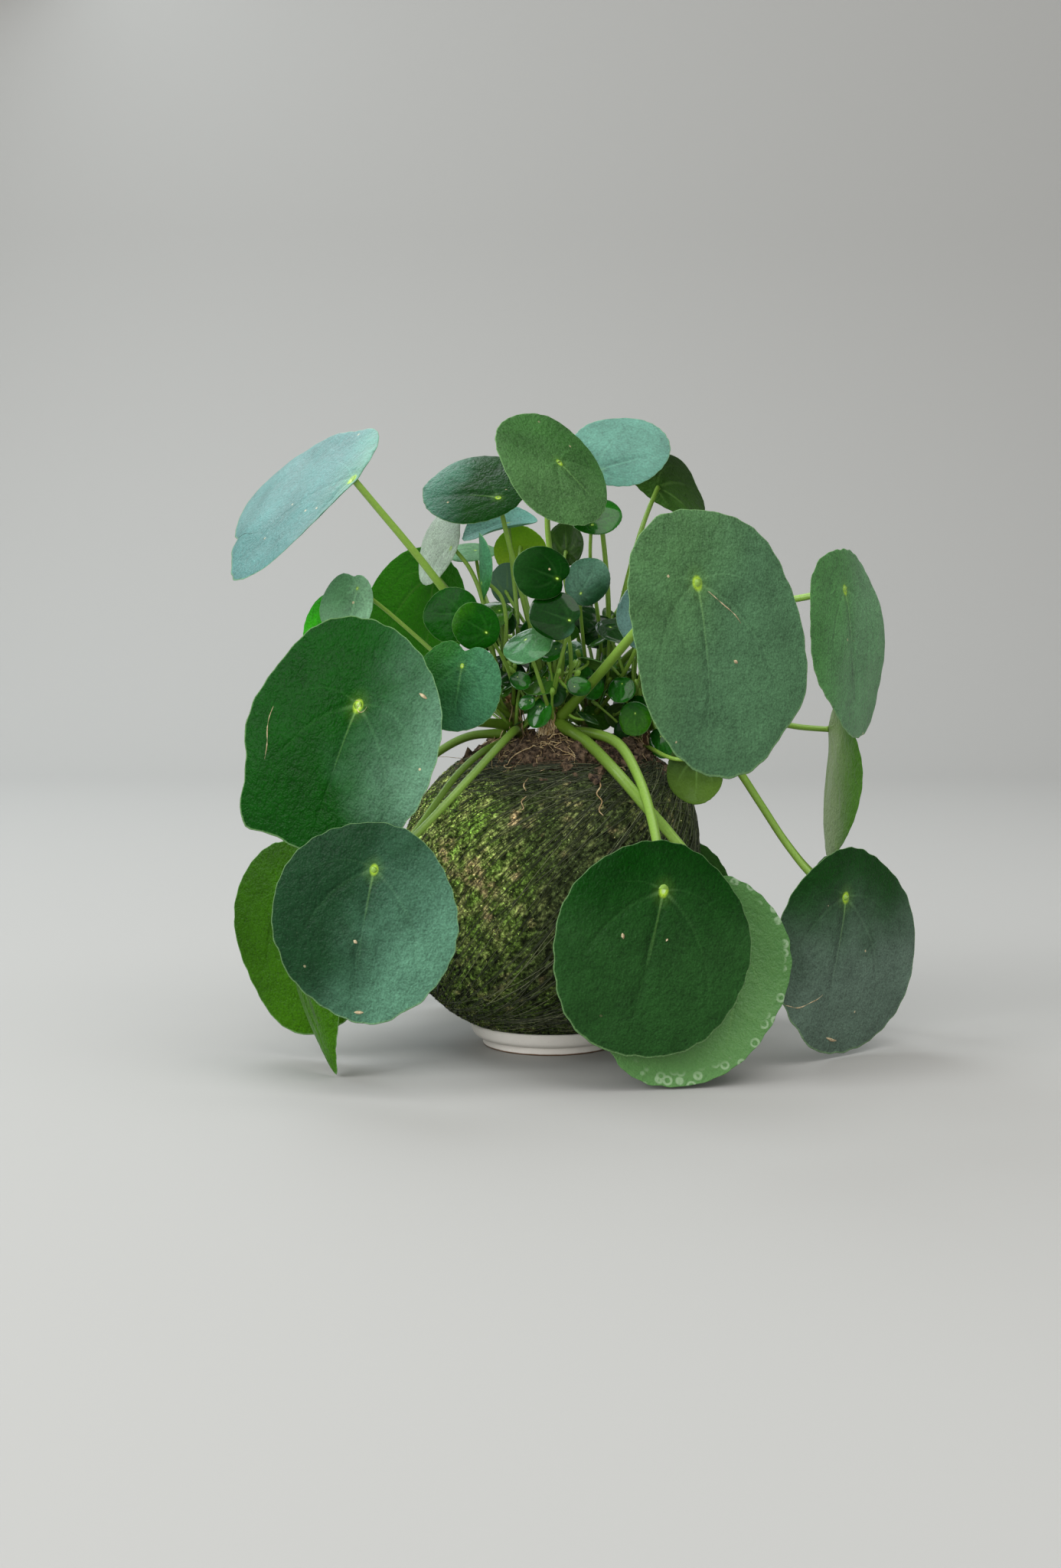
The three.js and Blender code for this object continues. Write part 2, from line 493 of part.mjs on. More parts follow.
function makeCrown(name, stem) {
  const young = YOUNG_LEAVES.filter((row) => row[1] === name);
  const solids = young.map((row, i) => leafSolid(row, LEAVES.length + i, {
    centre: vector(stem.top).addScaledVector(stemWay(stem), row[6][0] * stem.tip),
    radius: 0,
  }));
  const solid = solids.reduce((all, one) => all.add(one), toSolid(makeTip(stem)));
  return meshOf(`${name}_crown`, toGeometry(solid), FINISH.crown);
}

// The plant

const plant = new THREE.Group();
plant.add(meshOf("saucer", makeSaucer(), FINISH.saucer));
plant.add(meshOf("root_ball", makeSoil(), FINISH.soil));
plant.add(meshOf("moss_wrap", makeMoss(), FINISH.moss));
plant.add(meshOf("thread_winding", makeThread(), FINISH.thread));
for (const [name, stem] of Object.entries(STEMS)) {
  plant.add(meshOf(`${name}_stem`, toGeometry(toSolid(stemTube(stem, 0, SOIL.holeDepth))), FINISH.wood));
  plant.add(makeCrown(name, stem));
}
LEAVES.forEach((row, number) => plant.add(makeLeaf(row, number)));

export default plant;
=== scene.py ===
# %% [markdown]
# # A kokedama moss ball plant
# This lesson dresses the solid model of a house plant: round leaves on long stalks grow out of a
# ball of soil, which is wrapped in moss, bound with fine thread and set on a small saucer. The
# solid model, the frame, says where each piece is. Here each piece gets its real surface.
# All lengths in the tables are millimetres, and a mesh gets them as metres.

# %% The frame
import itertools
import math
from collections import namedtuple

import bpy
import numpy as np
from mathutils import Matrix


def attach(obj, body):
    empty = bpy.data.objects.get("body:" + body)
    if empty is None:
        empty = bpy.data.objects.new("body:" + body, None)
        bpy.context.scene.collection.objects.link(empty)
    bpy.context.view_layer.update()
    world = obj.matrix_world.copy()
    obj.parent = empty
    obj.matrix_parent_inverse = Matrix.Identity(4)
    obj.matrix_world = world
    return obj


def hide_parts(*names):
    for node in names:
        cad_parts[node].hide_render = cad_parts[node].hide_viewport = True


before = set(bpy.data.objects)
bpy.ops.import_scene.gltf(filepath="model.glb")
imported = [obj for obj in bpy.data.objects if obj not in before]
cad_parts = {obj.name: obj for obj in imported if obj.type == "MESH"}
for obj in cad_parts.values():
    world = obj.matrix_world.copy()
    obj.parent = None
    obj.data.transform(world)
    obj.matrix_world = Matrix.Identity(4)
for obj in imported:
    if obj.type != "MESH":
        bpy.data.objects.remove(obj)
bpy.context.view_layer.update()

MM = 0.001
ANY_TURN = 6.3  # radians: about a whole turn, for random angles
chance = np.random.default_rng(42)
print("nodes in the frame:", len(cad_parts))


# %% [markdown]
# ## From arrays to a mesh
# Every shape here is worked out as a whole array of points, with faces that name them by number.
# A shape also carries marks: one value a point, such as how far it is from the leaf's edge, which
# the materials read later. Blender could build the same from its own primitives, but a plant has
# no straight parts, so formulas on grids are the shorter way.


# %% Shapes
def shape(points, faces, kind=0, **marks):
    """A shape: points (n, 3) in mm, faces as index arrays with one row a face, a kind that
    chooses its material, and marks with one value or vector a point."""
    points = np.asarray(points, float).reshape(-1, 3)
    faces = [np.asarray(face, int) for face in faces if len(face)]
    kinds = [np.full(len(face), kind) for face in faces]
    marks = {name: np.broadcast_to(value, (len(points), *np.shape(value)[1:]))
             for name, value in marks.items()}
    return {"points": points, "faces": faces, "kinds": kinds, "marks": marks}


def together(shapes):
    """Several shapes as one: each shape's face numbers grow by the points before it, and a mark
    that a shape lacks is zero there."""
    sizes = {name: np.shape(value)[1:] for one in shapes for name, value in one["marks"].items()}
    before = np.cumsum([0] + [len(one["points"]) for one in shapes])
    marks = {name: np.concatenate([
        one["marks"].get(name, np.zeros((len(one["points"]), *size))) for one in shapes])
        for name, size in sizes.items()}
    return {
        "points": np.concatenate([one["points"] for one in shapes]),
        "faces": [face + start for one, start in zip(shapes, before) for face in one["faces"]],
        "kinds": [kind for one in shapes for kind in one["kinds"]],
        "marks": marks,
    }


def scene_object(name, data):
    """A new object of the scene, which shows a mesh, a light or a camera."""
    made = bpy.data.objects.new(name, data)
    bpy.context.scene.collection.objects.link(made)
    return made


def mesh_object(name, made, materials, smooth=True):
    """A shape as a Blender object at the origin, with its marks as attributes."""
    corners = np.concatenate([face.ravel() for face in made["faces"]]).astype(np.int32)
    sizes = np.concatenate([np.full(len(face), face.shape[1]) for face in made["faces"]])
    mesh = bpy.data.meshes.new(name)
    mesh.vertices.add(len(made["points"]))
    mesh.vertices.foreach_set("co", (made["points"] * MM).astype(np.float32).ravel())
    mesh.loops.add(len(corners))
    mesh.loops.foreach_set("vertex_index", corners)
    mesh.polygons.add(len(sizes))
    mesh.polygons.foreach_set("loop_start", np.r_[0, np.cumsum(sizes)[:-1]].astype(np.int32))
    mesh.polygons.foreach_set("material_index", np.concatenate(made["kinds"]).astype(np.int32))
    mesh.update(calc_edges=True)
    mesh.polygons.foreach_set("use_smooth", np.full(len(sizes), smooth))
    for mark, value in made["marks"].items():
        sort, field = ("FLOAT", "value") if value.ndim == 1 else ("FLOAT_VECTOR", "vector")
        data = mesh.attributes.new(mark, sort, "POINT").data
        data.foreach_set(field, np.ascontiguousarray(value, np.float32).ravel())
    for material in materials:
        mesh.materials.append(material)
    return scene_object(name, mesh)


def mesh_piece(name, made, materials, replaces=(), smooth=True):
    """A mesh object that rides on the plant's one body and shows the nodes that it replaces."""
    piece = mesh_object(name, made, materials, smooth)
    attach(piece, "root")
    if replaces:
        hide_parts(*replaces)
    return piece


# %% [markdown]
# ## Strands and turned surfaces
# Stalks, thread, rootlets and stems are all strands: a ring of corners carried along a path.
# Blender's curve objects can do that too. Arrays make hundreds of them at once. The moss, the soil
# and the saucer are turned instead, as on a potter's wheel, and closed by a lid at each end.


# %% Strands along paths
def unit(vectors):
    """Vectors made one long."""
    return vectors / np.maximum(np.linalg.norm(vectors, axis=-1, keepdims=True), 1e-9)


def strands(paths, radii, sides, reference, closed=False, kind=0, **marks):
    """Tubes along paths (count, steps, 3). At each step, corner j stands at
    path + radius * (side * cos(2 pi j / sides) + up * sin(2 pi j / sides)), with side and up
    square to the way of the path. Open tubes are capped."""
    paths = np.asarray(paths, float)
    count, steps = paths.shape[:2]
    way = np.roll(paths, -1, 1) - np.roll(paths, 1, 1) if closed else np.gradient(paths, axis=1)
    way = unit(way)
    side = unit(np.cross(np.broadcast_to(reference, paths.shape), way))
    up = np.cross(way, side)
    turn = np.arange(sides) * 2 * np.pi / sides
    ring = side[:, :, None] * np.cos(turn)[:, None] + up[:, :, None] * np.sin(turn)[:, None]
    radii = np.broadcast_to(radii, (count, steps))
    points = paths[:, :, None] + radii[:, :, None, None] * ring
    index = np.arange(count * steps * sides).reshape(count, steps, sides)
    first, second = (index, np.roll(index, -1, 1)) if closed else (index[:, :-1], index[:, 1:])
    walls = np.stack([first, np.roll(first, -1, 2), np.roll(second, -1, 2), second], -1)
    faces = [walls.reshape(-1, 4)]
    if not closed:
        faces += [index[:, 0, ::-1], index[:, -1]]
    around = {name: np.repeat(np.broadcast_to(value, (count, steps)).reshape(-1), sides)
              for name, value in marks.items()}
    return shape(points, faces, kind, **around)


def turned(radius, height, segments):
    """The rings of a profile turned about Z: each of its points becomes a ring of corners at
    (radius cos a, radius sin a, height), from the bottom up or round a section."""
    angle = np.arange(segments) * 2 * np.pi / segments
    radius = np.asarray(radius, float)[:, None]
    height = np.asarray(height, float)[:, None]
    return np.stack(np.broadcast_arrays(radius * np.cos(angle), radius * np.sin(angle), height), -1)


def lidded(rings, **marks):
    """Rings of points (rings, segments, 3) as a closed surface: a wall from each ring to the
    next, and one face as a lid on the first ring and on the last."""
    index = np.arange(rings.shape[0] * rings.shape[1]).reshape(rings.shape[:2])
    after = np.roll(index, -1, 1)
    walls = np.stack([index[:-1], after[:-1], after[1:], index[1:]], -1).reshape(-1, 4)
    return shape(rings, [walls, index[:1, ::-1], index[-1:]], **marks)


print("corners of a turned tube:", len(lidded(turned([1, 1], [0, 5], 12))["points"]))


# %% [markdown]
# ## Soft noise
# Living things are even nowhere. One helper gives smooth random values in space. The shapes use
# it for lumps and the colour marks for patches, so both agree on where a patch is.


# %% Soft noise in space
LATTICE_SIZE = 32
LATTICE = np.random.default_rng(7).random((LATTICE_SIZE,) * 3)


def cloud(points, size, shift=0.0):
    """Noise between 0 and 1: random values at the corners of cubes of that size in mm, and a
    smooth blend of the eight corners inside each cube."""
    place = np.asarray(points, float) / size + shift
    low = np.floor(place).astype(int)
    part = place - low
    part = part * part * (3 - 2 * part)
    total = np.zeros(place.shape[:-1])
    for corner in itertools.product((0, 1), repeat=3):
        weight = np.prod(np.where(corner, part, 1 - part), axis=-1)
        at = (low + corner) % LATTICE_SIZE
        total += weight * LATTICE[at[..., 0], at[..., 1], at[..., 2]]
    return total


def soft_step(value, start, end):
    """0 below start, 1 above end, and a smooth way between."""
    share = np.clip((value - start) / (end - start), 0, 1)
    return share * share * (3 - 2 * share)


def linear(hexes):
    """A screen colour such as 4a5524, as the linear red, green and blue that shaders mix."""
    value = np.array([int(hexes[i:i + 2], 16) for i in (0, 2, 4)]) / 255
    return np.where(value <= 0.04045, value / 12.92, ((value + 0.055) / 1.055) ** 2.4)


print("noise at three places:", cloud(np.eye(3) * 4, 9).round(2))

# %% [markdown]
# ## Materials as sums
# A node material is a sum written as a drawing. The class below lets Python write it as a sum
# again: a value times a mask plus another adds its Math nodes by itself.


# %% Values on sockets
class Value:
    """A socket of a material, with the operators that the finishes use."""

    def __init__(self, material, socket):
        self.material, self.socket = material, socket

    def math(self, operation, *others):
        """A Math node on this value and others."""
        return self.material.node("ShaderNodeMath", {"operation": operation}, [self, *others])

    def __add__(self, other):
        return self.math("ADD", other)

    def __sub__(self, other):
        return self.math("SUBTRACT", other)

    def __mul__(self, other):
        return self.math("MULTIPLY", other)

    def __rsub__(self, other):
        return self.material.node("ShaderNodeMath", {"operation": "SUBTRACT"}, [other, self])

    __radd__, __rmul__ = __add__, __mul__

    def size(self):
        """The value without its sign."""
        return self.math("ABSOLUTE")

    def step(self, start, end):
        """0 at start, 1 at end, smooth between."""
        return self.material.node("ShaderNodeMapRange", {"interpolation_type": "SMOOTHSTEP"}, {
            "Value": self, "From Min": start, "From Max": end})

    def mix(self, first, second):
        """The first colour where this mask is 0 and the second where it is 1."""
        return self.material.node("ShaderNodeMix", {"data_type": "RGBA", "clamp_factor": True}, {
            0: self, 6: first, 7: second}, "Result", 2)


class Finish:
    """A material with one shader, whose nodes are added by the sums above."""

    def __init__(self, name, roughness, **constants):
        self.material = bpy.data.materials.new(name)
        self.material.use_nodes = True
        self.tree = self.material.node_tree
        self.shader = self.tree.nodes["Principled BSDF"]
        self.shader.inputs["Roughness"].default_value = roughness
        for socket, value in constants.items():
            self.shader.inputs[socket.replace("_", " ")].default_value = value

    def plug(self, socket, value):
        """Links a value or sets a number, vector or colour on a socket."""
        if isinstance(value, Value):
            self.tree.links.new(value.socket, socket)
            return
        if np.ndim(value) and socket.type == "RGBA" and len(value) == 3:
            value = (*value, 1.0)
        socket.default_value = tuple(value) if np.ndim(value) else value

    def node(self, sort, settings, inputs, output=0, which=0):
        """Adds a node of that type, sets it, plugs its inputs and gives its output. Where several
        outputs have the same name, which is the number of the one that is wanted."""
        made = self.tree.nodes.new(sort)
        for name, value in settings.items():
            setattr(made, name, value)
        pairs = inputs.items() if isinstance(inputs, dict) else enumerate(inputs)
        for name, value in pairs:
            self.plug(made.inputs[name], value)
        sockets = made.outputs
        if isinstance(output, str):
            named = [one for one in sockets if one.name == output]
            return Value(self, named[min(which, len(named) - 1)])
        return Value(self, sockets[output])

    def mark(self, name, field="Fac"):
        """A mark of the mesh: a number, or a vector as Vector or Color."""
        return self.node("ShaderNodeAttribute", {"attribute_name": name}, {}, field)

    def noise(self, where, scale, detail=2.0, rough=0.5):
        """Smooth noise around 0.5. The scale is how many waves go into one unit of the place."""
        return self.node("ShaderNodeTexNoise", {}, {
            "Vector": where, "Scale": scale, "Detail": detail, "Roughness": rough}, "Fac")

    def scattered(self, where, scale):
        """How far a place is from the nearest of many scattered points."""
        return self.node("ShaderNodeTexVoronoi", {"feature": "F1"}, {
            "Vector": where, "Scale": scale}, "Distance")

    def axes(self, vector):
        """The three numbers of a vector."""
        return [self.node("ShaderNodeSeparateXYZ", {}, [vector], axis) for axis in range(3)]

    def scaled(self, colour, factor):
        """A colour times a number, through Vector Math."""
        return self.node("ShaderNodeVectorMath", {"operation": "SCALE"}, {
            "Vector": colour, "Scale": factor})

    def object_place(self):
        """The place of a point on its piece, in metres."""
        return self.node("ShaderNodeTexCoord", {}, {}, "Object")

    def bump(self, height, distance, strength=1.0):
        """Lifts the surface by the height times a distance in metres."""
        normal = self.node("ShaderNodeBump", {}, {
            "Height": height, "Distance": distance, "Strength": strength})
        self.plug(self.shader.inputs["Normal"], normal)

    def colour(self, value):
        """Sets the shader's own colour."""
        self.plug(self.shader.inputs["Base Color"], value)


# %% [markdown]
# ## The plant's tables
# The same rows as in the solid model say where each leaf is. A row gives the leaf's name and its
# stem, and then:
# - at, where its stalk meets the blade
# - facing, which way the blade faces: compass angle from the front, height above level, and turn
#   of its tip, in degrees
# - size, its length and width, and the shares of them that lie behind and left of the stalk
# - bend, how far it is bent across and along, in degrees
# - stalk, how high on the stem the stalk starts, and its swing and rise there
# - dips, the dips in its edge: angle, depth as a share, and spread. A depth below 0 is a bulge.

# %% Stems and leaves
STEMS = {
    "left": {"foot": (-16, -8, 153), "top": (-21, -8, 186), "radius": 5, "tip": 9},
    "centre": {"foot": (3, -14, 155), "top": (1, -17, 181), "radius": 4, "tip": 8},
    "back": {"foot": (20, 26, 151), "top": (23, 29, 184), "radius": 5, "tip": 9},
    "right": {"foot": (47, 8, 147), "top": (45, 4, 174), "radius": 5.5, "tip": 7},
}
LeafRow = namedtuple("LeafRow", "name stem at facing size bend stalk dips", defaults=[()])


def rows_of(stem, rows):
    """The rows of the leaves on one stem, with leaf_ put before each name."""
    return [LeafRow("leaf_" + name, stem, *rest) for name, *rest in rows]


LEAVES = [
    *rows_of("left", [
        ("left_low", (-80, -129, 105.7), (-12, 6, -10), (91.7, 87.8, 0.23, 0.51), (8, 8), (0.14, 34, 16)),
        ("left_big", (-89, -100, 178), (-20, 14, -18), (112, 101, 0.35, 0.53), (6, 10), (0.26, -4, 6),
         [(-36, -0.15, 12), (-62, 0.04, 12), (-140, -0.05, 20), (140, 0.05, 24)]),
        ("left_low_behind", (-124, -42, 83.5), (-24, 2, 12), (97, 72, 0.26, 0.57), (6, 8), (0.1, -14, 8)),
        ("left_hanging_tip", (-122, -72, 58.4), (-58, -5, 17), (73, 41, 0.26, 0.5), (20, 6), (0, 24, 0),
         [(0, -0.12, 16)]),
        ("top_left", (-95, -50, 284), (-53, 41, -17), (100, 95.5, 0.336, 0.934), (4, 6), (0.8, 0, 66),
         [(103, 0.04, 17), (-162, 0.27, 33), (13, -0.11, 22), (-83, -0.22, 31)]),
        ("left_back", (-61, 58, 239), (-150, 16, 0), (73, 61, 0.2, 0.36), (6, 6), (0.56, 0, 44)),
        ("left_small", (-96, -10, 231.5), (-25, 16, -6), (34, 31, 0.25, 0.66), (8, 4), (0.5, -8, 36),
         [(180, 0.3, 16)]),
        ("left_sliver", (-112, 24, 217), (-40, 12, 0), (44, 42, 0.3, 0.5), (6, 6), (0.4, 6, 30)),
        ("left_pale_upright", (-50, 8, 252), (-56, 20, 0), (43, 38, 0.54, 0.86), (4, 2), (0.84, 0, 70)),
        ("inner_left_heart", (-42, -70, 195), (-15, 10, -8), (44, 45, 0.28, 0.53), (8, 6),
         (0.42, -10, 24), [(176, 0.42, 14)]),
        ("inner_left_round", (-30.9, -52, 210.3), (-10, 5, -120), (24.6, 22.6, 0.25, 0.5), (8, 6),
         (0.62, 26, 46)),
        ("inner_left_back", (-43.1, -44, 219), (-20, 10, -90), (29.2, 27.2, 0.3, 0.5), (8, 6),
         (0.7, -4, 40)),
        ("inner_top_left_curled", (-21, 8, 264.5), (-10, 62, -62), (38, 30, 0.4, 0.5), (-14, 8),
         (0.98, -50, 80), [(0, -0.1, 14)]),
        ("inner_upright", (-33.5, -30, 234), (-80, -5, 180), (33, 26, 0.25, 0.5), (34, 4), (0.98, 8, 62)),
        ("inner_left_flat", (-38.4, 44, 251.3), (0, 70, -90), (30, 28, 0.4, 0.5), (8, 6), (0.94, -20, 66)),
    ]),
    *rows_of("centre", [
        ("front_low", (51.3, -112, 93.6), (8, 10, -14), (101, 92, 0.22, 0.49), (6, 10), (0.1, 43, 14)),
        ("front_low_turned", (79.5, -76, 63), (186, -20, 36), (110, 84, 0.3, 0.5), (6, 8), (0.3, -25, 22)),
        ("front_right_big", (63, -150, 234), (30, 12, 3), (118, 97, 0.265, 0.39), (6, 10), (0.45, 26, 40),
         [(-140, -0.28, 26), (-88, 0.07, 18), (125, 0.06, 24), (38, 0.07, 20)]),
        ("inner_glossy", (-12, -52, 206.8), (-25, 50, -29), (26, 24, 0.46, 0.38), (8, 8), (0.3, 8, 40)),
        ("inner_notched", (3, -62, 236), (0, 10, -112), (27.5, 26, 0.2, 0.5), (10, 6), (0.68, 66, 60),
         [(180, 0.5, 16)]),
        ("inner_two_lobed", (8.8, -64, 216.3), (-5, 8, -110), (25.3, 23.8, 0.2, 0.5), (26, 6),
         (0.58, -14, 46), [(180, 0.45, 16)]),
        ("top_inner_left", (-25.5, -20, 276), (-10, 42, -100), (55, 54, 0.23, 0.66), (8, 8),
         (0.94, -20, 78), [(0, -0.05, 14)]),
        ("top_centre", (4, -50, 291.5), (37, 30, 34), (65, 58, 0.5, 0.58), (8, 8), (0.96, 48, 76)),
        ("inner_yellow", (-14.6, 28, 252.4), (165, 12, 0), (27.4, 28.4, 0.42, 0.5), (10, 6), (0.8, 0, 70)),
    ]),
    *rows_of("back", [
        ("right_upper", (143, -40, 231), (57, 6, 12), (93, 84, 0.21, 0.5), (6, 8), (0.8, 0, 62),
         [(-48, 0.1, 34), (-150, -0.26, 24), (30, -0.1, 24)]),
        ("top_right", (23, -18, 289), (-5, 34, 112), (51, 46, 0.2, 0.3), (8, 8), (0.9, 100, 78)),
        ("top_right_back", (56.3, 30, 283.6), (150, 35, -56), (54, 38, 0.4, 0.76), (16, 28),
         (0.68, 40, 70), [(-45, 0.16, 24), (-95, -0.18, 24)]),
        ("inner_right_dark", (15, -25, 229), (4, 6, 150), (25, 22, 0.22, 0.5), (10, 6), (0.6, 0, 50)),
        ("inner_top_right", (20.3, -34, 262.2), (12, 36, 118), (28.3, 24.5, 0.3, 0.3), (16, 8),
         (0.84, 34, 72)),
        ("inner_top_back", (9, 32, 250), (160, 4, 180), (23, 20, 0.3, 0.5), (16, 6), (0.94, -60, 74)),
        ("behind_front_right", (48, -58, 224), (-10, 4, 0), (36, 34, 0.35, 0.5), (8, 6), (0.45, 10, 30)),
        ("inner_right_flat", (30.3, -4, 212), (10, 58, 60), (24, 22, 0.3, 0.5), (8, 6), (0.6, 30, 50)),
        ("inner_slate", (-21.5, 22, 229), (172, 0, 180), (21, 18, 0.25, 0.5), (8, 6), (0.7, 0, 52)),
    ]),
    *rows_of("right", [
        ("right_low", (146, -36, 80), (38, 6, -16), (103, 94, 0.25, 0.41), (6, 8), (0.55, 0, 30),
         [(-62, -0.05, 9), (75, -0.05, 26), (140, -0.04, 22)]),
        ("right_folded", (147, 36, 158.4), (88, 1, 0), (78, 62, 0.17, 0.86), (-13, 6), (0.7, 0, 20)),
        ("right_shoulder", (71.5, -40, 149), (150, 8, 0), (33, 31, 0.3, 0.5), (8, 6), (0.05, -14, 12)),
        ("inner_right_low", (42, -26, 170), (-10, 14, 0), (17.5, 16.5, 0.35, 0.5), (8, 6), (0.3, 0, 20)),
        ("back_right_upper", (92, 88, 205), (150, 12, 0), (78, 72, 0.28, 0.5), (6, 8), (0.8, 0, 44)),
        ("back_top_right", (92, 62, 240), (160, 34, 10), (56, 52, 0.34, 0.5), (8, 8), (0.95, 45, 66)),
        ("back_right_side", (156, 40, 75), (128, 6, 0), (66, 62, 0.26, 0.5), (8, 8), (0.5, 0, 29)),
        ("back_right_low", (70, 104, 76), (165, 8, 0), (74, 70, 0.26, 0.5), (8, 8), (0.1, 0, 24)),
    ]),
    *rows_of("back", [
        ("back_left_upper", (-67, 97, 222), (198, 16, 0), (50, 46, 0.28, 0.5), (6, 8), (0.66, -50, 50)),
        ("back_left", (-106, 84, 172), (212, 10, 0), (80, 74, 0.26, 0.5), (6, 8), (0.3, 0, 34)),
        ("back_low", (0, 128, 100), (182, 10, 0), (94, 86, 0.26, 0.5), (6, 8), (0.1, 0, 26)),
        ("back_left_low", (-52, 112, 76), (202, 4, 0), (82, 76, 0.26, 0.5), (6, 8), (0.12, 14, 18)),
    ]),
]
YOUNG_LEAVES = [
    LeafRow("young_a", "centre", (11.5, -45, 184), (20, 30, 100), (13, 11, 0.3, 0.5), (10, 6), (0.6, 0, 30)),
    LeafRow("young_b", "centre", (-10, -39, 177), (-20, 25, -60), (9, 8, 0.3, 0.5), (10, 6), (0.3, 0, 30)),
    LeafRow("young_c", "back", (15, 2, 190), (5, 12, 20), (14, 13, 0.3, 0.5), (10, 6), (0.5, 0, 40)),
    LeafRow("young_d", "back", (22.5, 1, 184), (10, 16, -20), (13, 12, 0.3, 0.5), (10, 6), (0.6, 0, 40)),
    LeafRow("young_e", "left", (-16, -31, 188), (-10, 40, 40), (12, 10, 0.3, 0.5), (10, 6), (0.5, 0, 40)),
    LeafRow("young_f", "right", (36, -14, 184), (-10, 40, 0), (16, 14, 0.3, 0.5), (14, 6), (0.5, 0, 50)),
    LeafRow("young_g", "right", (60, 20, 196), (120, 40, 0), (18, 16, 0.3, 0.5), (10, 6), (0.6, 0, 60)),
]
print("leaves:", len(LEAVES), "young leaves:", len(YOUNG_LEAVES))


# %% [markdown]
# ## The blade of a leaf
# A leaf of this plant is a nearly round plate that its stalk holds from below, off its middle.
# One formula gives every blade: an ellipse round the stalk's point, rippled a little at the edge
# and bent both ways. A sculpted grid would show the same from one side, but the formula also
# keeps each blade on its solid. On top of the solid's formula come a fine scalloped edge, a
# hollow where the stalk stands below, and gentle swells between the veins.


# %% One point of a blade
BLADE_THICKNESS = 0.8
PHASE = 2.4
SCALLOPS = 12.5


def blade_frame(facing):
    """The ways of a blade's tip, of its left-to-right and of its upper face."""
    compass, height, turn = np.radians(facing)
    ahead = np.array([np.sin(compass), -np.cos(compass), 0])
    face = ahead * np.cos(height) + np.array([0, 0, np.sin(height)])
    down = ahead * np.sin(height) - np.array([0, 0, np.cos(height)])
    right = np.cross(face, down)
    tip = down * np.cos(turn) + right * np.sin(turn)
    return tip, np.cross(face, tip), face


def blade_places(row, number, share, angle):
    """Where a point lies on the blade laid flat, in mm from the stalk's point, along and across.
    The edge is half the length and width times a rippled circle, off centre by the row's shares,
    times one less its dips exp(-(angle from the dip / spread)^2)."""
    length, width, behind, left = row.size
    phase = number * PHASE
    ripple = 1 + 0.012 * np.sin(5 * angle + phase) + 0.01 * np.sin(3 * angle + 2 * phase)
    scallop = np.abs(np.sin(SCALLOPS * angle + phase + 0.9 * np.sin(3 * angle + number)))
    scallop = 0.010 * scallop + 0.005 * np.sin(31 * angle + 3 * phase) - 0.006
    ripple = ripple + scallop * share ** 8
    cut = np.ones_like(angle)
    for where, depth, spread in row.dips:
        off = np.angle(np.exp(1j * (angle - math.radians(where))))
        cut = cut - depth * np.exp(-((off / math.radians(spread)) ** 2))
    along = share * cut * length * (0.5 - behind + 0.5 * np.cos(angle) * ripple)
    across = share * cut * width * (0.5 - left + 0.5 * np.sin(angle) * ripple)
    return along, across


def bent_blade(row, number, along, across, share, angle, lift):
    """A flat place and its lift above the blade's middle, bent as on two cylinders: with r the
    radius of a bend, a place s along it moves to (r + lift) sin(s / r) and rises to
    (r + lift) cos(s / r) - r."""
    length, width = row.size[:2]
    wave = 0.012 * length * share ** 2 * np.sin(3 * angle + 1.7 * number * PHASE)
    across_turn = math.radians(row.bend[0]) / (0.5 * width)
    along_turn = math.radians(row.bend[1]) / (0.5 * length)
    reach = 1 / across_turn + wave + lift
    bent_across = reach * np.sin(across * across_turn)
    reach = 1 / along_turn + reach * np.cos(across * across_turn) - 1 / across_turn
    bent_along = reach * np.sin(along * along_turn)
    height = reach * np.cos(along * along_turn) - 1 / along_turn
    tip, side, face = blade_frame(row.facing)
    return (np.array(row.at, float) + bent_along[..., None] * tip
            + bent_across[..., None] * side + height[..., None] * face)


def blade_relief(row, number, along, across, share):
    """The swell of a blade: a hollow of exp(-(distance / radius)^2) at the stalk's point, less a
    soft groove along the middle vein towards the tip, plus low swells of crossed waves."""
    length = row.size[0]
    far = np.hypot(along, across)
    hollow = -0.009 * np.exp(-((far / (0.05 * length + 1)) ** 2))
    groove = -0.0032 * np.exp(-((across / (0.035 * length)) ** 2)) * soft_step(along, 0, 0.2 * length)
    groove = groove * (1 - soft_step(share, 0.5, 1))
    swell = 0.0045 * np.sin(along * 9 / length + number) * np.sin(across * 11 / length + 2 * number)
    flat = np.stack([along, across, np.full_like(along, 31.0 * number)], -1)
    dents = 0.009 * (cloud(flat, 0.15 * length) - 0.5) + 0.003 * (cloud(flat, 0.06 * length) - 0.5)
    return length * (hollow + groove + (swell + dents) * soft_step(share, 0.05, 0.4))


def on_blade(row, number, share, angle, side):
    """Points on a blade's upper face, where side is 1, or its lower, where side is -1, with
    their flat places. A face stands half a thickness off the middle, times sqrt(1 - share^12),
    so that both meet in one rim."""
    along, across = blade_places(row, number, share, angle)
    half = 0.5 * BLADE_THICKNESS * np.sqrt(np.clip(1 - share ** 12, 0, 1))
    lift = side * half + blade_relief(row, number, along, across, share)
    return bent_blade(row, number, along, across, share, angle, lift), along, across


ahead, aside = blade_places(LEAVES[0], 0, np.ones(2), np.array([0, np.pi / 2]))
print("the first leaf's edge, from its stalk, in mm:", round(ahead[0], 1), "and", round(aside[1], 1))

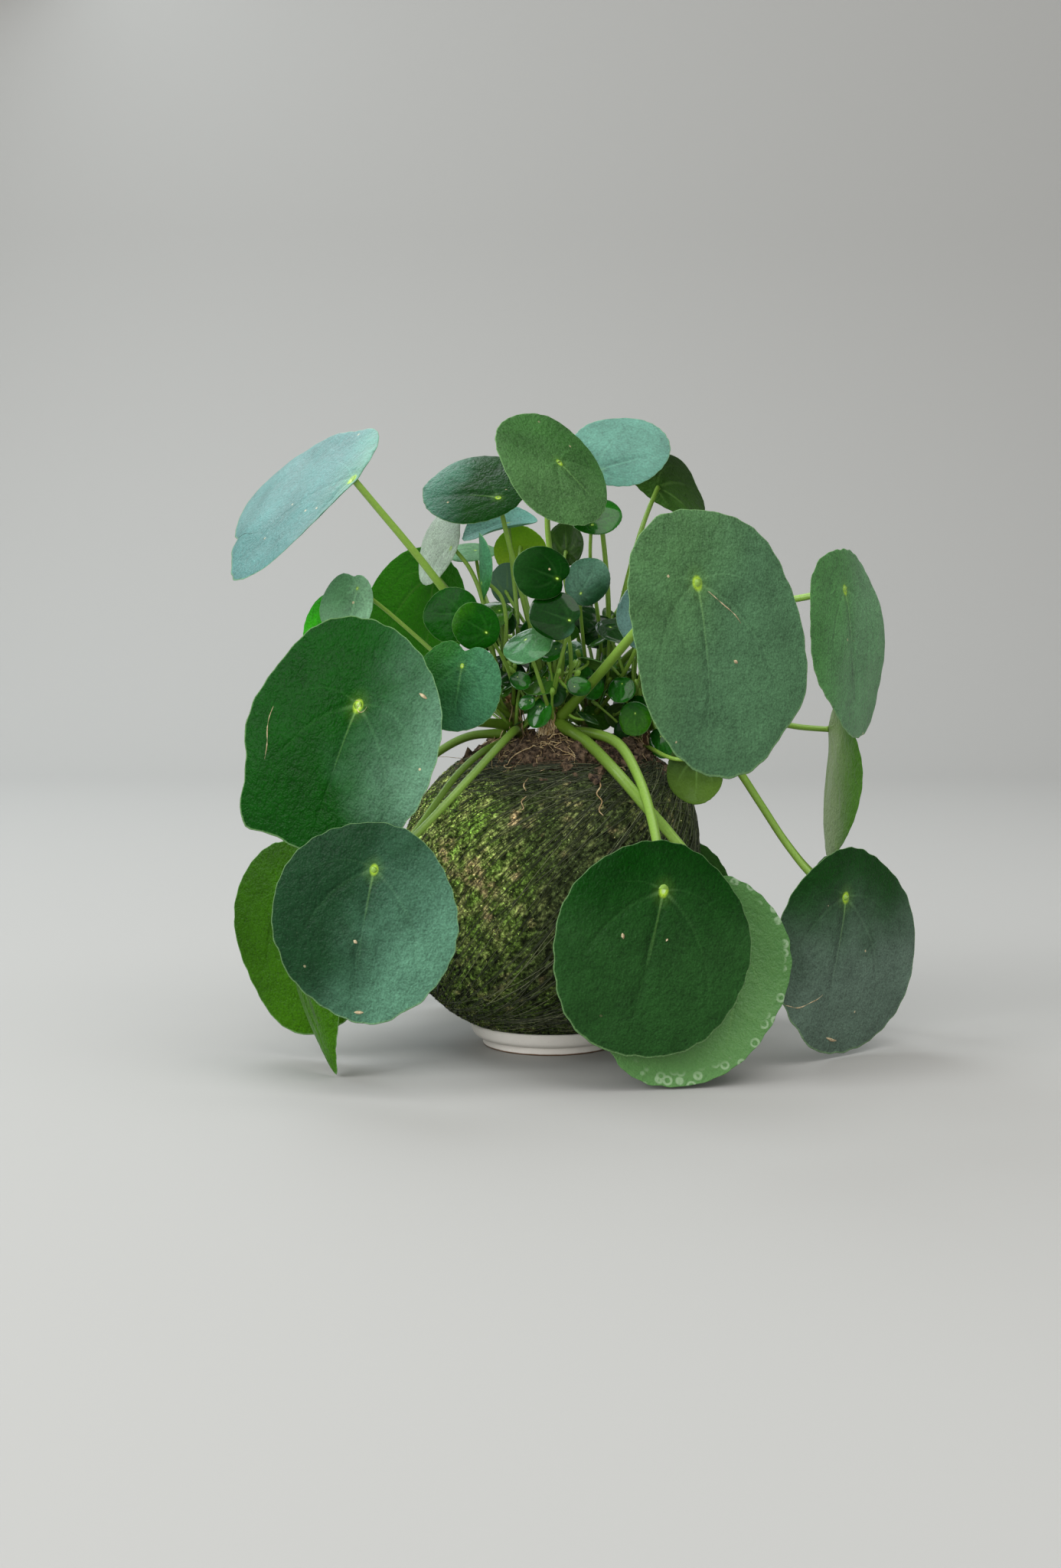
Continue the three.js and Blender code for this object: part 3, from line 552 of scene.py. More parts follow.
# %% Bends and dips that only the dressed leaves have
OWN_BEND = {
    "leaf_top_right_back": (22, 34), "leaf_inner_top_left_curled": (-44, 12),
    "leaf_right_shoulder": (24, 20), "leaf_left_hanging_tip": (44, 8),
    "leaf_inner_glossy": (16, 14), "leaf_top_inner_left": (16, 12),
}
OWN_DIPS = {
    "leaf_top_left": [(-37, 0.05, 4)], "leaf_left_low_behind": [(70, 0.04, 8)],
    "leaf_left_low": [(35, 0.02, 6), (-60, 0.02, 7)], "leaf_right_low": [(-30, 0.02, 5)],
}


def dressed(row):
    """A leaf's row with its own bend, and its own dips beside the solid's."""
    dips = [*row.dips, *OWN_DIPS.get(row.name, ())]
    return row._replace(bend=OWN_BEND.get(row.name, row.bend), dips=dips)


print("leaves with a bend of their own:", len(OWN_BEND), "and with dips:", len(OWN_DIPS))

# %% A whole blade
BLADE_GRIDS = ((70, 128, 26), (40, 96, 18), (22, 64, 12), (0, 40, 8))
RIM_SHARES = (0.965, 0.985, 0.996, 1.0)


def blade(row, number):
    """Both faces of a blade and its round edge, as a grid over share, from the stalk's point to
    the edge and back below, and angle. A row of BLADE_GRIDS says for blades longer than its
    first number how many spokes and rings they get."""
    length = row.size[0]
    spokes, rings = next(grid for longer, *grid in BLADE_GRIDS if length > longer)
    share = np.r_[np.linspace(0, 1, rings, endpoint=False) ** 0.85, RIM_SHARES]
    share = np.unique(share[share > 0])
    angle = np.arange(spokes) * 2 * np.pi / spokes
    share, angle = np.meshgrid(share, angle, indexing="ij")
    edge = len(share) - 1
    share = np.vstack([share, share[-2::-1]])
    angle = np.vstack([angle, angle[-2::-1]])
    side = np.sign(edge - np.arange(len(share)))[:, None] * np.ones(spokes)
    share = np.r_[0.0, 0.0, share.ravel()]
    angle = np.r_[0.0, 0.0, angle.ravel()]
    side = np.r_[1.0, -1.0, side.ravel()]
    points, along, across = on_blade(row, number, share, angle, side)
    index = np.arange(len(points) - 2).reshape(-1, spokes) + 2
    after = np.roll(index, -1, 1)
    walls = np.stack([index[:-1], index[1:], after[1:], after[:-1]], -1).reshape(-1, 4)
    top = np.stack([np.zeros(spokes, int), index[0], after[0]], -1)
    bottom = np.stack([np.ones(spokes, int), after[-1], index[-1]], -1)
    flat = np.stack([along, across, np.full(len(points), 40.0 * number)], -1)
    return shape(points, [walls, top, bottom], flat_place=flat, share=share, upper=side,
                 reach=np.hypot(0.72 * along - 0.004 * length, across) / length,
                 greens=leaf_greens(row, along, across))


# %% [markdown]
# ## Leaf colours
# Leaves on one plant differ: young ones are bright and old ones are deep green, and many change
# from one side to the other. Much of that change is painted light: a pale painted sheen where a
# leaf would mirror the window, and painted shade on the side away from the light. Each leaf gets
# a pair of greens with a way across the blade from the first to the second, as an angle from the
# tip's way, and a shift of the place where they meet. The mesh carries the blend as a mark, so
# one material serves every leaf.

# %% The greens of each leaf
# Many of these pairs paint light as well as colour. Where a grown leaf's second green is a pale grey, blue
# or teal, and on the leaves that face up or to the left, that green is a painted sheen: the window's
# reflection. The backlit and sunlit greens are painted light, and the two sides of the shaded, cupped and
# folded leaves are painted shade and painted light.
GREENS = {
    "deep": ("022d00", "163c12"),
    "front": ("023400", "22481e"),
    "folded": ("2e6000", "9bb07b"),
    "shade": ("0a3400", "2a5a10"),
    "deep_bloom": ("16381e", "548068"),
    "sheened": ("033e00", "5a8268"),
    "bright": ("084200", "2a6202"),
    "backlit": ("1c8200", "2a9400"),
    "mid": ("4a7044", "4c7250"),
    "mid_light": ("4c7e46", "5e8860"),
    "sunlit": ("285200", "346400"),
    "gloss": ("326030", "42764a"),
    "teal": ("6ca89a", "88c0b0"),
    "mid_bloom": ("245e20", "3e7450"),
    "dusty": ("5a8c60", "7caa84"),
    "sky": ("4a7874", "66947e"),
    "sea": ("447a68", "548474"),
    "pale": ("b2c4b0", "bcd0ba"),
    "yellow": ("7cb408", "a0c828"),
    "light": ("3c7038", "508248"),
    "olive": ("2a5a0e", "3c6c1c"),
    "slate": ("3a5a52", "4e7068"),
    "young": ("0a4002", "1c640e"),
    "dark_bloom": ("123c10", "566a5c"),
    "tipped": ("043200", "4e806a"),
    "top": ("36622c", "466c3c"),
    "ripe": ("0c2404", "486414"),
}
LEAF_LOOKS = {
    "leaf_left_low": ("deep_bloom", 68, 0.18), "leaf_left_big": ("sheened", 96, 0.2),
    "leaf_left_low_behind": ("sunlit", 60, 0), "leaf_left_hanging_tip": ("sunlit", 0, 0),
    "leaf_top_left": ("sky", 120, 0), "leaf_left_back": ("backlit", 40, 0),
    "leaf_left_small": ("dusty", 90, 0), "leaf_left_sliver": ("backlit", 0, 0),
    "leaf_left_pale_upright": ("pale", 0, 0), "leaf_inner_left_heart": ("mid_bloom", 80, 0),
    "leaf_inner_left_round": ("bright", 0, 0.6), "leaf_inner_left_back": ("bright", 90, 0.6),
    "leaf_inner_top_left_curled": ("teal", -40, 0.1), "leaf_inner_upright": ("mid_bloom", 0, 0),
    "leaf_inner_left_flat": ("dusty", 0, 0.3), "leaf_front_low": ("front", 20, 0.06),
    "leaf_front_low_turned": ("light", 0, 0), "leaf_front_right_big": ("mid", 60, 0),
    "leaf_inner_glossy": ("gloss", 0, 0), "leaf_inner_notched": ("deep", 0, 0.5),
    "leaf_inner_two_lobed": ("tipped", 160, 0.3), "leaf_top_inner_left": ("tipped", 0, 0.5),
    "leaf_top_centre": ("top", -60, 0), "leaf_inner_yellow": ("yellow", 0, 0),
    "leaf_right_upper": ("mid_light", 60, 0), "leaf_top_right": ("sea", 40, 0),
    "leaf_top_right_back": ("shade", 90, 0), "leaf_inner_right_dark": ("deep_bloom", 60, 0),
    "leaf_inner_top_right": ("young", 0, 0), "leaf_inner_top_back": ("deep", 0, 0),
    "leaf_behind_front_right": ("slate", 0, 0), "leaf_inner_right_flat": ("deep", 0, 0),
    "leaf_inner_slate": ("slate", 0, 0), "leaf_right_low": ("dark_bloom", 20, 0.12),
    "leaf_right_folded": ("folded", 80, -0.3), "leaf_right_shoulder": ("ripe", 0, 0.25),
    "leaf_inner_right_low": ("bright", 0, 0),
}


def look_of(row):
    """The greens, way and shift of a leaf. Those of the back and the young ones have none of
    their own and take the usual look of their kind."""
    kind = "young" if row.name.startswith("young") else "mid_bloom"
    return LEAF_LOOKS.get(row.name, (row.name if row.name in GREENS else kind, 45, 0))


def leaf_greens(row, along, across):
    """The colour of each place of a blade: the first green where it lies against the way of the
    look, the second where it lies with it, and a soft and patchy step between. On many leaves the
    pair is painted light: a pale painted sheen on one side and painted shade on the other."""
    look, way, shift = look_of(row)
    first, second = (linear(one) for one in GREENS[look])
    length = row.size[0]
    at = (along * math.cos(math.radians(way)) + across * math.sin(math.radians(way))) / length
    flat = np.stack([along, across, np.full_like(along, len(row.name) * 9.0)], -1)
    sizes = ((1, 0.25), (0.6, 0.1), (0.3, 0.045))
    patchy = sum(weight * cloud(flat, size * length) for weight, size in sizes) - 0.95
    blend = soft_step(at - shift + 0.16 * patchy, -0.28, 0.3)[:, None]
    return first * (1 - blend) + second * blend


print("pairs of greens:", len(GREENS), "points of the first blade:", len(blade(LEAVES[0], 0)["points"]))

# %% [markdown]
# ## The stalk of a leaf
# A stalk leaves the bark, bows outward and turns up into the blade's underside. It is one smooth
# curve of four points, and where it would pass through the moss it lies over the ball instead.
# On the plant it is juicy and round, a little thicker at both ends.

# %% The ball's surface and the stalks
BALL = {"radius": 76.5, "half_height": 75.5, "centre_z": 81.5, "power": 2.5, "opening": 52}
BALL_CENTRE = np.array([0, 0, BALL["centre_z"]])
TOP_LEAN = 6
STALK_OVER_MOSS = 6


def top_shift(z):
    """How far the ball leans to the right at a height: 0 at 90 mm and the whole lean at 150."""
    return TOP_LEAN * soft_step(z, 90, 150)


def ball_point(direction, gap=0.0):
    """The surface point along a direction from the ball's centre, a gap further out: the reach r
    solves (flat r / radius)^power + (height r / half height)^power = 1."""
    flat = np.hypot(direction[..., 0], direction[..., 1])
    reach = ((flat / BALL["radius"]) ** BALL["power"]
             + (np.abs(direction[..., 2]) / BALL["half_height"]) ** BALL["power"]) ** (-1 / BALL["power"])
    point = direction * (reach + gap)[..., None]
    point[..., 2] += BALL["centre_z"]
    point[..., 0] += top_shift(point[..., 2])
    return point


def clear_of_ball(points):
    """Points of a stalk, those inside the ball moved out over its surface."""
    out = points - BALL_CENTRE
    out[:, 0] -= top_shift(points[:, 2])
    surface = ball_point(unit(out), STALK_OVER_MOSS)
    bare = surface - BALL_CENTRE
    bare[:, 0] -= top_shift(surface[:, 2])
    open_top = (np.hypot(out[:, 0], out[:, 1]) < BALL["opening"]) & (out[:, 2] > 0)
    inside = (np.linalg.norm(out, axis=1) < np.linalg.norm(bare, axis=1)) & ~open_top
    return np.where(inside[:, None], surface, points)


def smooth_path(points, steps):
    """A finer path through a few points: on each stretch the curve that meets the ends with the
    way from the point before to the point after."""
    points = np.asarray(points, float)
    ends = np.vstack([2 * points[0] - points[1], points, 2 * points[-1] - points[-2]])
    at = np.linspace(0, len(points) - 1 - 1e-6, steps)
    i = at.astype(int)
    t = (at - i)[:, None]
    a, b, c, d = ends[i], ends[i + 1], ends[i + 2], ends[i + 3]
    return 0.5 * (2 * b + (c - a) * t + (2 * a - 5 * b + 4 * c - d) * t ** 2
                  + (3 * b - a - 3 * c + d) * t ** 3)


right_side = ball_point(np.array([[1.0, 0, 0]]))[0]
print("the ball's right side at its middle height, in mm:", right_side.round(1))

# %% Stalks
STALKS_OVER_BALL = {
    "leaf_front_low": [
        (21, -24, 160), (34, -38, 155), (43, -58, 139), (48, -79, 121), (50.5, -97, 104)],
    "leaf_front_low_turned": [
        (17, -33, 157), (32, -57, 143), (45, -63.5, 128), (57, -64.5, 114.5), (68, -73, 100),
        (77, -88, 78)],
}
STALK_STEPS = ((40, 7), (22, 5), (0, 3))
STALK_SIDES = 10
FOOT_SWELL = 0.35
COLLAR = 0.3
STALK = 1


def stalk_path(row, centre, radius):
    """The stalk's line: a cubic curve from the bark, set off along its own way, into the blade
    from below, with the blade's point as its last. A row of STALK_STEPS says for blades longer
    than its first number into how many steps the curve is cut."""
    blade_at = np.array(row.at, float)
    face = blade_frame(row.facing)[2]
    under = blade_at - face * 2.5
    way = under - centre
    heading = math.atan2(way[1], way[0]) + math.radians(row.stalk[1])
    rise = math.radians(row.stalk[2])
    outward = np.array([math.cos(heading), math.sin(heading), 0])
    set_out = outward * math.cos(rise) + np.array([0, 0, math.sin(rise)])
    foot = centre + outward * radius
    reach = np.linalg.norm(foot - under)
    arrive = unit(face * 0.6 + unit(under - foot) * 0.4)
    corners = np.array([foot, foot + set_out * 0.36 * reach, under - arrive * 0.34 * reach, under])
    length = row.size[0]
    steps = next(steps for longer, steps in STALK_STEPS if length > longer)
    t = np.linspace(0, 1, steps + 1)[:, None]
    curve = ((1 - t) ** 3 * corners[0] + 3 * t * (1 - t) ** 2 * corners[1]
             + 3 * t * t * (1 - t) * corners[2] + t ** 3 * corners[3])
    end = blade_at - face * (0.3 + 0.009 * length)
    if row.name in STALKS_OVER_BALL:
        return smooth_path(np.vstack([foot, STALKS_OVER_BALL[row.name], end]), 64)
    return smooth_path(np.vstack([clear_of_ball(curve), end]), 8 * steps)


def stalk(row, centre, radius):
    """A round stalk, thicker under a longer blade. Its radius falls from 1.08 to 0.78 of the
    usual one, and swells at the foot and in a collar where it meets the blade."""
    path = stalk_path(row, centre, radius)
    t = np.linspace(0, 1, len(path))
    thick = (1.3 + 0.029 * row.size[0]) / 2 * (1.25 if row.name in STALKS_OVER_BALL else 1)
    swell = 1 + FOOT_SWELL * np.exp(-((t / 0.04) ** 2)) + COLLAR * soft_step(t, 0.93, 0.99)
    wide = thick * (1.08 - 0.3 * t) * swell
    chord = path[-1] - path[0]
    flat = np.cross(chord, [0, 0, 1.0])
    reference = unit(flat if np.linalg.norm(flat) > 1 else np.cross(chord, [1.0, 0, 0]))
    return strands(path[None], wide[None], STALK_SIDES, reference, kind=STALK, way_along=t[None])


def stem_axis(stem, share):
    """The place at a share of the way from a stem's foot to its top."""
    foot, top = np.array(stem["foot"], float), np.array(stem["top"], float)
    return foot + (top - foot) * share


def bark_radius(stem, share):
    """A stem's radius, which falls from 0.96 of its usual one at the foot to 0.88 at the top."""
    return stem["radius"] * (0.96 - 0.08 * share)


print("stalks that lie over the ball:", len(STALKS_OVER_BALL))


# %% Scars, and a whole leaf
SCAR, CREASE = 2, 3
SCARS = {
    "leaf_left_big": [[(0.06, 227), (0.0, 0), (0.105, 114)], [(0.78, 272), (0.785, 290), (0.81, 305)],
                      [(0.78, 131), (0.85, 127)]],
    "leaf_front_right_big": [[(0.085, 67), (0.18, 66), (0.295, 68), (0.37, 65)], [(0.46, 26), (0.49, 29)]],
    "leaf_right_low": [[(0.9, -3), (0.915, 8)], [(0.99, 311), (0.86, 324), (0.66, 341)]],
    "leaf_left_low": [[(0.48, 352), (0.49, 357)], [(0.93, 4), (0.925, 10)]],
    "leaf_front_low": [[(0.40, 306), (0.405, 313)], [(0.29, 25), (0.3, 28)]],
    "leaf_top_left": [[(0.99, 323), (0.9, 325), (0.77, 332)]],
}
CREASED = ("leaf_top_left",)


def scar(row, number, line):
    """A healed scratch: a flat ridge on the blade's upper face through a few places, each a share
    of the way to the edge and an angle. A long one is broken. A crease is narrower and dark: a
    line of painted shade along a fold."""
    share, angle = smooth_path(np.array([(share, angle, 0) for share, angle in line]), 25)[:, :2].T
    path = on_blade(row, number, share, np.radians(angle), 1)[0]
    along_it = np.linspace(0, 1, len(path))
    short = len(line) == 2
    broken = 1 if short else 0.05 + 0.95 * soft_step(np.abs(np.sin(along_it * 9.4 + 0.4)), 0.25, 0.7)
    wide = 0.06 + (0.76 if short else 0.26) * np.sin(0.2 + 2.8 * along_it) * broken
    kind = CREASE if row.name in CREASED else SCAR
    wide = wide * (0.45 if kind == CREASE else 1)
    return strands(path[None], wide[None], 6, blade_frame(row.facing)[2], kind=kind)


def leaf(row, number):
    """A blade, its stalk and its scars. The stalk starts on the bark, at 0.1 to 0.96 of the
    stem's height by the row's own share."""
    stem = STEMS[row.stem]
    share = 0.1 + row.stalk[0] * 0.86
    parts = [blade(row, number), stalk(row, stem_axis(stem, share), bark_radius(stem, share) + 0.1)]
    return together(parts + [scar(row, number, line) for line in SCARS.get(row.name, [])])


print("leaves with scars:", len(SCARS))

# %% [markdown]
# ## The finish of leaves, stalks and scars
# A living leaf is a waxy skin over green flesh. Its veins start at the stalk's point and bend
# towards the tip, with painted shade in the grooves beside them, its rim is a thin pale line of
# painted rim light, and old leaves carry tan specks. The veins are drawn from the flat place of
# each point: its angle round the stalk's point and its distance from it, so they follow the
# blade wherever it is bent.

# %% The leaf's material
# Of these tints, rim is a painted rim light; the others are the leaf's own colours.
LEAF_TINTS = {
    "dust": "a9bba6", "vein": "86ab74", "middle vein": "8cb45c", "halo": "6f9a38", "spot": "a6cc3c",
    "spot middle": "c6dcae", "speck": "c9b894", "rim": "86ad72", "underside": "7aa254", "bead": "d3e6c8",
}
VEIN_ANGLES = (0.0, 1.0, 1.9)
VEIN_WIDTHS = (1.0, 1.5, 1.1)


def strongest(first, *others):
    """The greatest of several values."""
    for other in others:
        first = first.math("MAXIMUM", other)
    return first


def leaf_finish(name, roughness, shine, coat, relief, bloom=0.0, pale_vein=0.0, beads=0.0):
    """Greens from the mesh's mark, with veins, specks, a fine grain, painted shade in the grooves
    beside the veins and a thin pale line of painted rim light at the edge. A vein is where the
    angle round the stalk's point, straightened by its bend, times the distance is near 0. Bloom
    is how much grey dust lies on the blade, relief is the depth of its leather in metres,
    pale_vein is how light the middle vein starts, and beads is how strong the pale rings near
    the rim of its underside are."""
    tint = {part: linear(one) for part, one in LEAF_TINTS.items()}
    m = Finish(name, roughness, Specular_IOR_Level=shine, Coat_Weight=coat, Coat_Roughness=0.12)
    along, across, own = m.axes(m.mark("flat_place", "Vector"))
    share, upper, reach = m.mark("share"), m.mark("upper"), m.mark("reach")
    place = m.node("ShaderNodeCombineXYZ", {}, [along, across, own])
    flat = m.node("ShaderNodeCombineXYZ", {}, [along, across, 0.0])
    far = m.node("ShaderNodeVectorMath", {"operation": "LENGTH"}, [flat], "Value")
    grain = m.noise(place, 0.95, 2.0)
    mottle = m.noise(place, 0.06, 3.0)
    leather = m.noise(place, 0.3, 2.0, 0.6)

    angle = across.math("ARCTAN2", along).size() + (mottle - 0.5) * share * 0.3
    bent = angle * (1 + share * share * 0.9)
    gaps = [(bent - start).size() * far for start in VEIN_ANGLES]
    lines = [gap.step(width, 0.0) for gap, width in zip(gaps, VEIN_WIDTHS)]
    clear = far.step(1.2, 4.0)
    vein = strongest(lines[0], lines[1] * 0.7, lines[2] * 0.5) * share.step(1.0, 0.3) * clear
    furrow_and_shade = strongest(gaps[0].step(5.0, 0.0), gaps[1].step(4.0, 0.0) * 0.7)
    furrow_and_shade = furrow_and_shade * share.step(1.0, 0.5) * clear

    own_green = m.mark("greens", "Vector")
    tone = 1 + (grain - 0.5) * 1.1 + (mottle - 0.5) * 0.8 + (leather - 0.5) * 0.6
    # painted shade: the colour darkens in the grooves beside the veins, where the bump also sinks the
    # surface
    green = m.scaled(own_green, tone - furrow_and_shade * 0.16 + vein * 0.35)
    dust = m.noise(place, 0.045, 4.0, 0.6).step(0.5, 0.75) * share.step(0.1, 0.5) * (0.4 + leather)
    speck = (m.scattered(place, 0.085) + (grain - 0.5) * 0.06).step(0.07, 0.04)
    speck = speck * m.noise(place, 0.035).step(0.5, 0.58)
    # painted rim light: a thin pale line along the blade's edge
    rim = (share + (leather - 0.5) * 0.012).step(0.984, 0.995)
    for mask, part in (
        (dust * bloom, "dust"),
        (vein * (0.03 + reach.step(0.09, 0.0) * 0.3), "vein"),
        (gaps[0].step(0.8, 0.0) * reach.step(0.3, 0.02) * pale_vein, "middle vein"),
        (reach.step(0.07, 0.0) * 0.2, "halo"),
        (reach.step(0.027, 0.014), "spot"),
        (reach.step(0.016, 0.006) * 0.75, "spot middle"),
        (speck * 0.8, "speck"),
        (rim * 0.45, "rim"),
    ):
        green = mask.mix(green, tint[part])

    under = m.scaled(own_green, 0.7 + grain * 0.5)
    under = (0.1 + vein * 0.3 + leather * 0.18).mix(under, tint["underside"])
    if beads:
        cell = m.scattered(place, 0.17)
        ring = (cell + (leather - 0.5) * 0.3).step(0.16, 0.28) * cell.step(0.46, 0.34)
        under = (ring * share.step(0.88, 0.95) * beads).mix(under, tint["bead"])
    m.colour(upper.step(-0.1, 0.1).mix(under, green))
    m.plug(m.shader.inputs["Roughness"], roughness - 0.12 + mottle * 0.16 + leather * 0.12)
    m.bump(grain * 0.4 + leather + vein * 0.15 - furrow_and_shade * 0.6, relief, 0.8)
    return m.material


# %% The materials of stalks, earth and bark
def stalk_finish(name, foot, top):
    """A smooth juicy stalk, from the colour of its foot to that of its top, faintly streaked."""
    m = Finish(name, 0.38)
    place = m.object_place()
    along = m.mark("way_along")
    streak = m.noise(place, 900.0, 2.0)
    colour = along.step(0.0, 0.55).mix(linear(foot), linear(top))
    m.colour(m.scaled(colour, 0.8 + streak * 0.4))
    m.bump(streak, 0.0002, 0.5)
    return m.material


def earth_finish(name, dark, light, scale, roughness=0.95):
    """Crumbly stuff: two browns mixed by noise, with a rough lift."""
    m = Finish(name, roughness)
    place = m.object_place()
    lumps = m.noise(place, scale, 4.0, 0.65)
    m.colour(lumps.step(0.35, 0.7).mix(linear(dark), linear(light)))
    m.bump(lumps, 0.001, 0.8)
    return m.material


# %% The finishes of this plant
GROWN_LEAF = leaf_finish("grown leaf", 0.36, 0.09, 0.0, 0.0016, bloom=0.008, pale_vein=0.14)
SATIN_LEAF = leaf_finish("small satin leaf", 0.4, 0.05, 0.03, 0.0006)
BEADED_LEAF = leaf_finish("leaf with beads", 0.4, 0.3, 0.0, 0.0014, bloom=0.008, pale_vein=0.16, beads=0.3)
SKY_LEAF = leaf_finish("leaf under the sky", 0.42, 0.25, 0.0, 0.0005)
YOUNG_LEAF = leaf_finish("young glossy leaf", 0.32, 0.05, 0.6, 0.0006)
DRY_SCAR = earth_finish("dry scars", "9a8462", "d8c8a4", 600.0, 0.8)
# painted shade: a dark line along the fold of the top left leaf
FOLD_SHADE_LINE = earth_finish("dark crease", "1c2a20", "34443a", 600.0, 0.8)
LEAF_STALK = stalk_finish("leaf stalk", "5c7c22", "86ac44")
print("nodes in a leaf's material:", len(GROWN_LEAF.node_tree.nodes))

# %% Every leaf
UNDER_THE_SKY = ("leaf_top_left", "leaf_top_right", "leaf_left_small", "leaf_left_pale_upright")
SATIN = (
    "leaf_right_shoulder", "leaf_inner_left_back", "leaf_inner_left_round", "leaf_inner_notched",
    "leaf_inner_left_flat", "leaf_inner_yellow", "leaf_inner_top_left_curled", "leaf_inner_slate",
    "leaf_inner_upright",
)


def skin_of(row):
    """The finish of a leaf's blade: satin when grown, glossy when young, unless it is named."""
    if row.name == "leaf_front_low_turned":
        return BEADED_LEAF
    if row.name in UNDER_THE_SKY:
        return SKY_LEAF
    if row.size[0] > 40:
        return GROWN_LEAF
    return SATIN_LEAF if row.name in SATIN else YOUNG_LEAF


for number, row in enumerate(LEAVES):
    skins = [skin_of(row), LEAF_STALK, DRY_SCAR, FOLD_SHADE_LINE]
    mesh_piece(f"{row.name}_blade_and_stalk", leaf(dressed(row), number), skins, [row.name])
print("leaves made:", len(LEAVES))


# %% [markdown]
# ## The moss wrap
# The ball is a sheet of living moss, pulled tight by the thread. It is greenest where it is damp,
# on the left and below, has tan patches where it is dry, and lies flat and dark under the thread
# on the right and towards the top. A bumpy skin gives the lumps, and tens of thousands of tiny
# pointed leaflets give the fur, so the outline is rough too, which a bump alone can't do.

# %% Where the moss is green, dry or flat
MOSS_DARK, MOSS_FELT, MOSS_GREEN, MOSS_YELLOW, MOSS_DRY = (
    linear(one) for one in ("141a0a", "4e5c34", "789a40", "d8dc8c", "dcc090"))
SUNNY_MOSS = (-50, -55, 114)
DRY_PATCHES = (
    (-36, -64, 90, 13), (-46, -55, 102, 12), (-30, -68, 80, 9), (-24, -66, 96, 8),
    (-14, -68, 120, 6), (40, 60, 96, 14), (-20, 74, 60, 11), (70, 20, 70, 10), (-72, 12, 100, 12),
)


def moss_growth(points):
    """How thick the moss grows, 0 to 1: more to the left and below, less under the thread."""
    side = soft_step(-points[:, 0] - 0.15 * (points[:, 2] - 80), -14, 52)
    low = soft_step(points[:, 2], 62, 30)
    top = soft_step(points[:, 2], 118, 142)
    patch = cloud(points, 17) + 0.5 * cloud(points, 7, 3.3)
    growth = 0.16 + 0.85 * np.maximum(side, 0.45 * low) + 0.7 * (patch - 0.75) - 0.35 * top
    return np.clip(growth, 0.06, 1)


def moss_lift(points):
    """How far the moss stands over the solid's surface, in mm: soft lumps of three sizes, flatter
    where the thread presses, plus half a millimetre where it grows thick."""
    growth = moss_growth(points)
    lumps = 1.1 * (cloud(points, 9) - 0.5) + 0.7 * (cloud(points, 2.6) - 0.5)
    return (0.35 + 0.65 * growth) * lumps + 0.6 * (cloud(points, 1.3) - 0.5) + 0.5 * growth - 0.3


def dryness(points, spots, fine):
    """How dry the moss is, 0 to 1: most within a ragged edge round each dry patch, a little in
    spots elsewhere, and broken up finely."""
    dry = np.zeros(len(points))
    for x, y, z, size in DRY_PATCHES:
        far = np.linalg.norm(points - (x, y, z), axis=1)
        ragged = 20 * (cloud(points, 7, 4.4) - 0.5) + 12 * (cloud(points, 2.8, 6.4) - 0.5)
        dry = np.maximum(dry, soft_step(far + ragged, size, 0.3 * size))
    return np.maximum(dry, 0.35 * soft_step(spots, 0.74, 0.82)) * soft_step(fine, 0.4, 0.65)


def moss_colours(points, shift=0.0):
    """The moss's colour: dark between, grey felt that turns green where it grows, yellow in spots
    and tan on the dry patches, each blended by its own soft noise. Painted light lifts it at the
    upper left and in a pool at the front left, and painted shade darkens it towards the bottom.
    The shift moves the noise."""
    points = points.reshape(-1, 3)
    growth = moss_growth(points)
    spots = cloud(points, 5.5, 1.7 + shift)
    fine = cloud(points, 1.2, 9.1 + shift)
    clumps = cloud(points, 2.4, 5.2 + shift)
    high = soft_step(points[:, 2], 40, 100)
    left = soft_step(-points[:, 0], 10, 60)
    # Painted light and shade: glow is a pool of painted light round SUNNY_MOSS, bright lifts the upper left,
    # and depth and shade darken the moss towards the bottom.
    glow = soft_step(np.linalg.norm(points - SUNNY_MOSS, axis=1), 46, 10)
    depth = 0.56 + 1.9 * (fine - 0.5) + 0.3 * (clumps - 0.5) - 0.3 * soft_step(points[:, 2], 90, 15)
    bright = np.clip(depth, 0, 1.3) * (1 + 0.4 * left * high + 0.9 * glow)
    yellow = soft_step(spots + 0.2 * left * high, 0.4, 0.7) * (0.2 + 0.8 * high) * growth
    colour = MOSS_FELT + (MOSS_GREEN - MOSS_FELT) * np.clip(1.5 * growth - 0.25, 0, 1)[:, None]
    colour = MOSS_DARK + (colour - MOSS_DARK) * bright[:, None]
    colour += (MOSS_YELLOW - colour) * (0.8 * yellow * soft_step(fine, 0.4, 0.65))[:, None]
    colour += (MOSS_DRY - colour) * (0.85 * dryness(points, spots, fine))[:, None]
    shade = 1 - 0.4 * soft_step(points[:, 2], 70, 20)
    return colour * shade[:, None]


front_sides = ball_point(unit(np.array([[-1.0, -1, 0], [1, -1, 0]])))
print("moss growth at the front, left and right:", moss_growth(front_sides).round(2))

# %% The skin of the moss
MOSS_DEPTH = 6
MOSS_SEGMENTS = 288
MOSS_STEPS = 150
MOSS_FOOT = 5.0


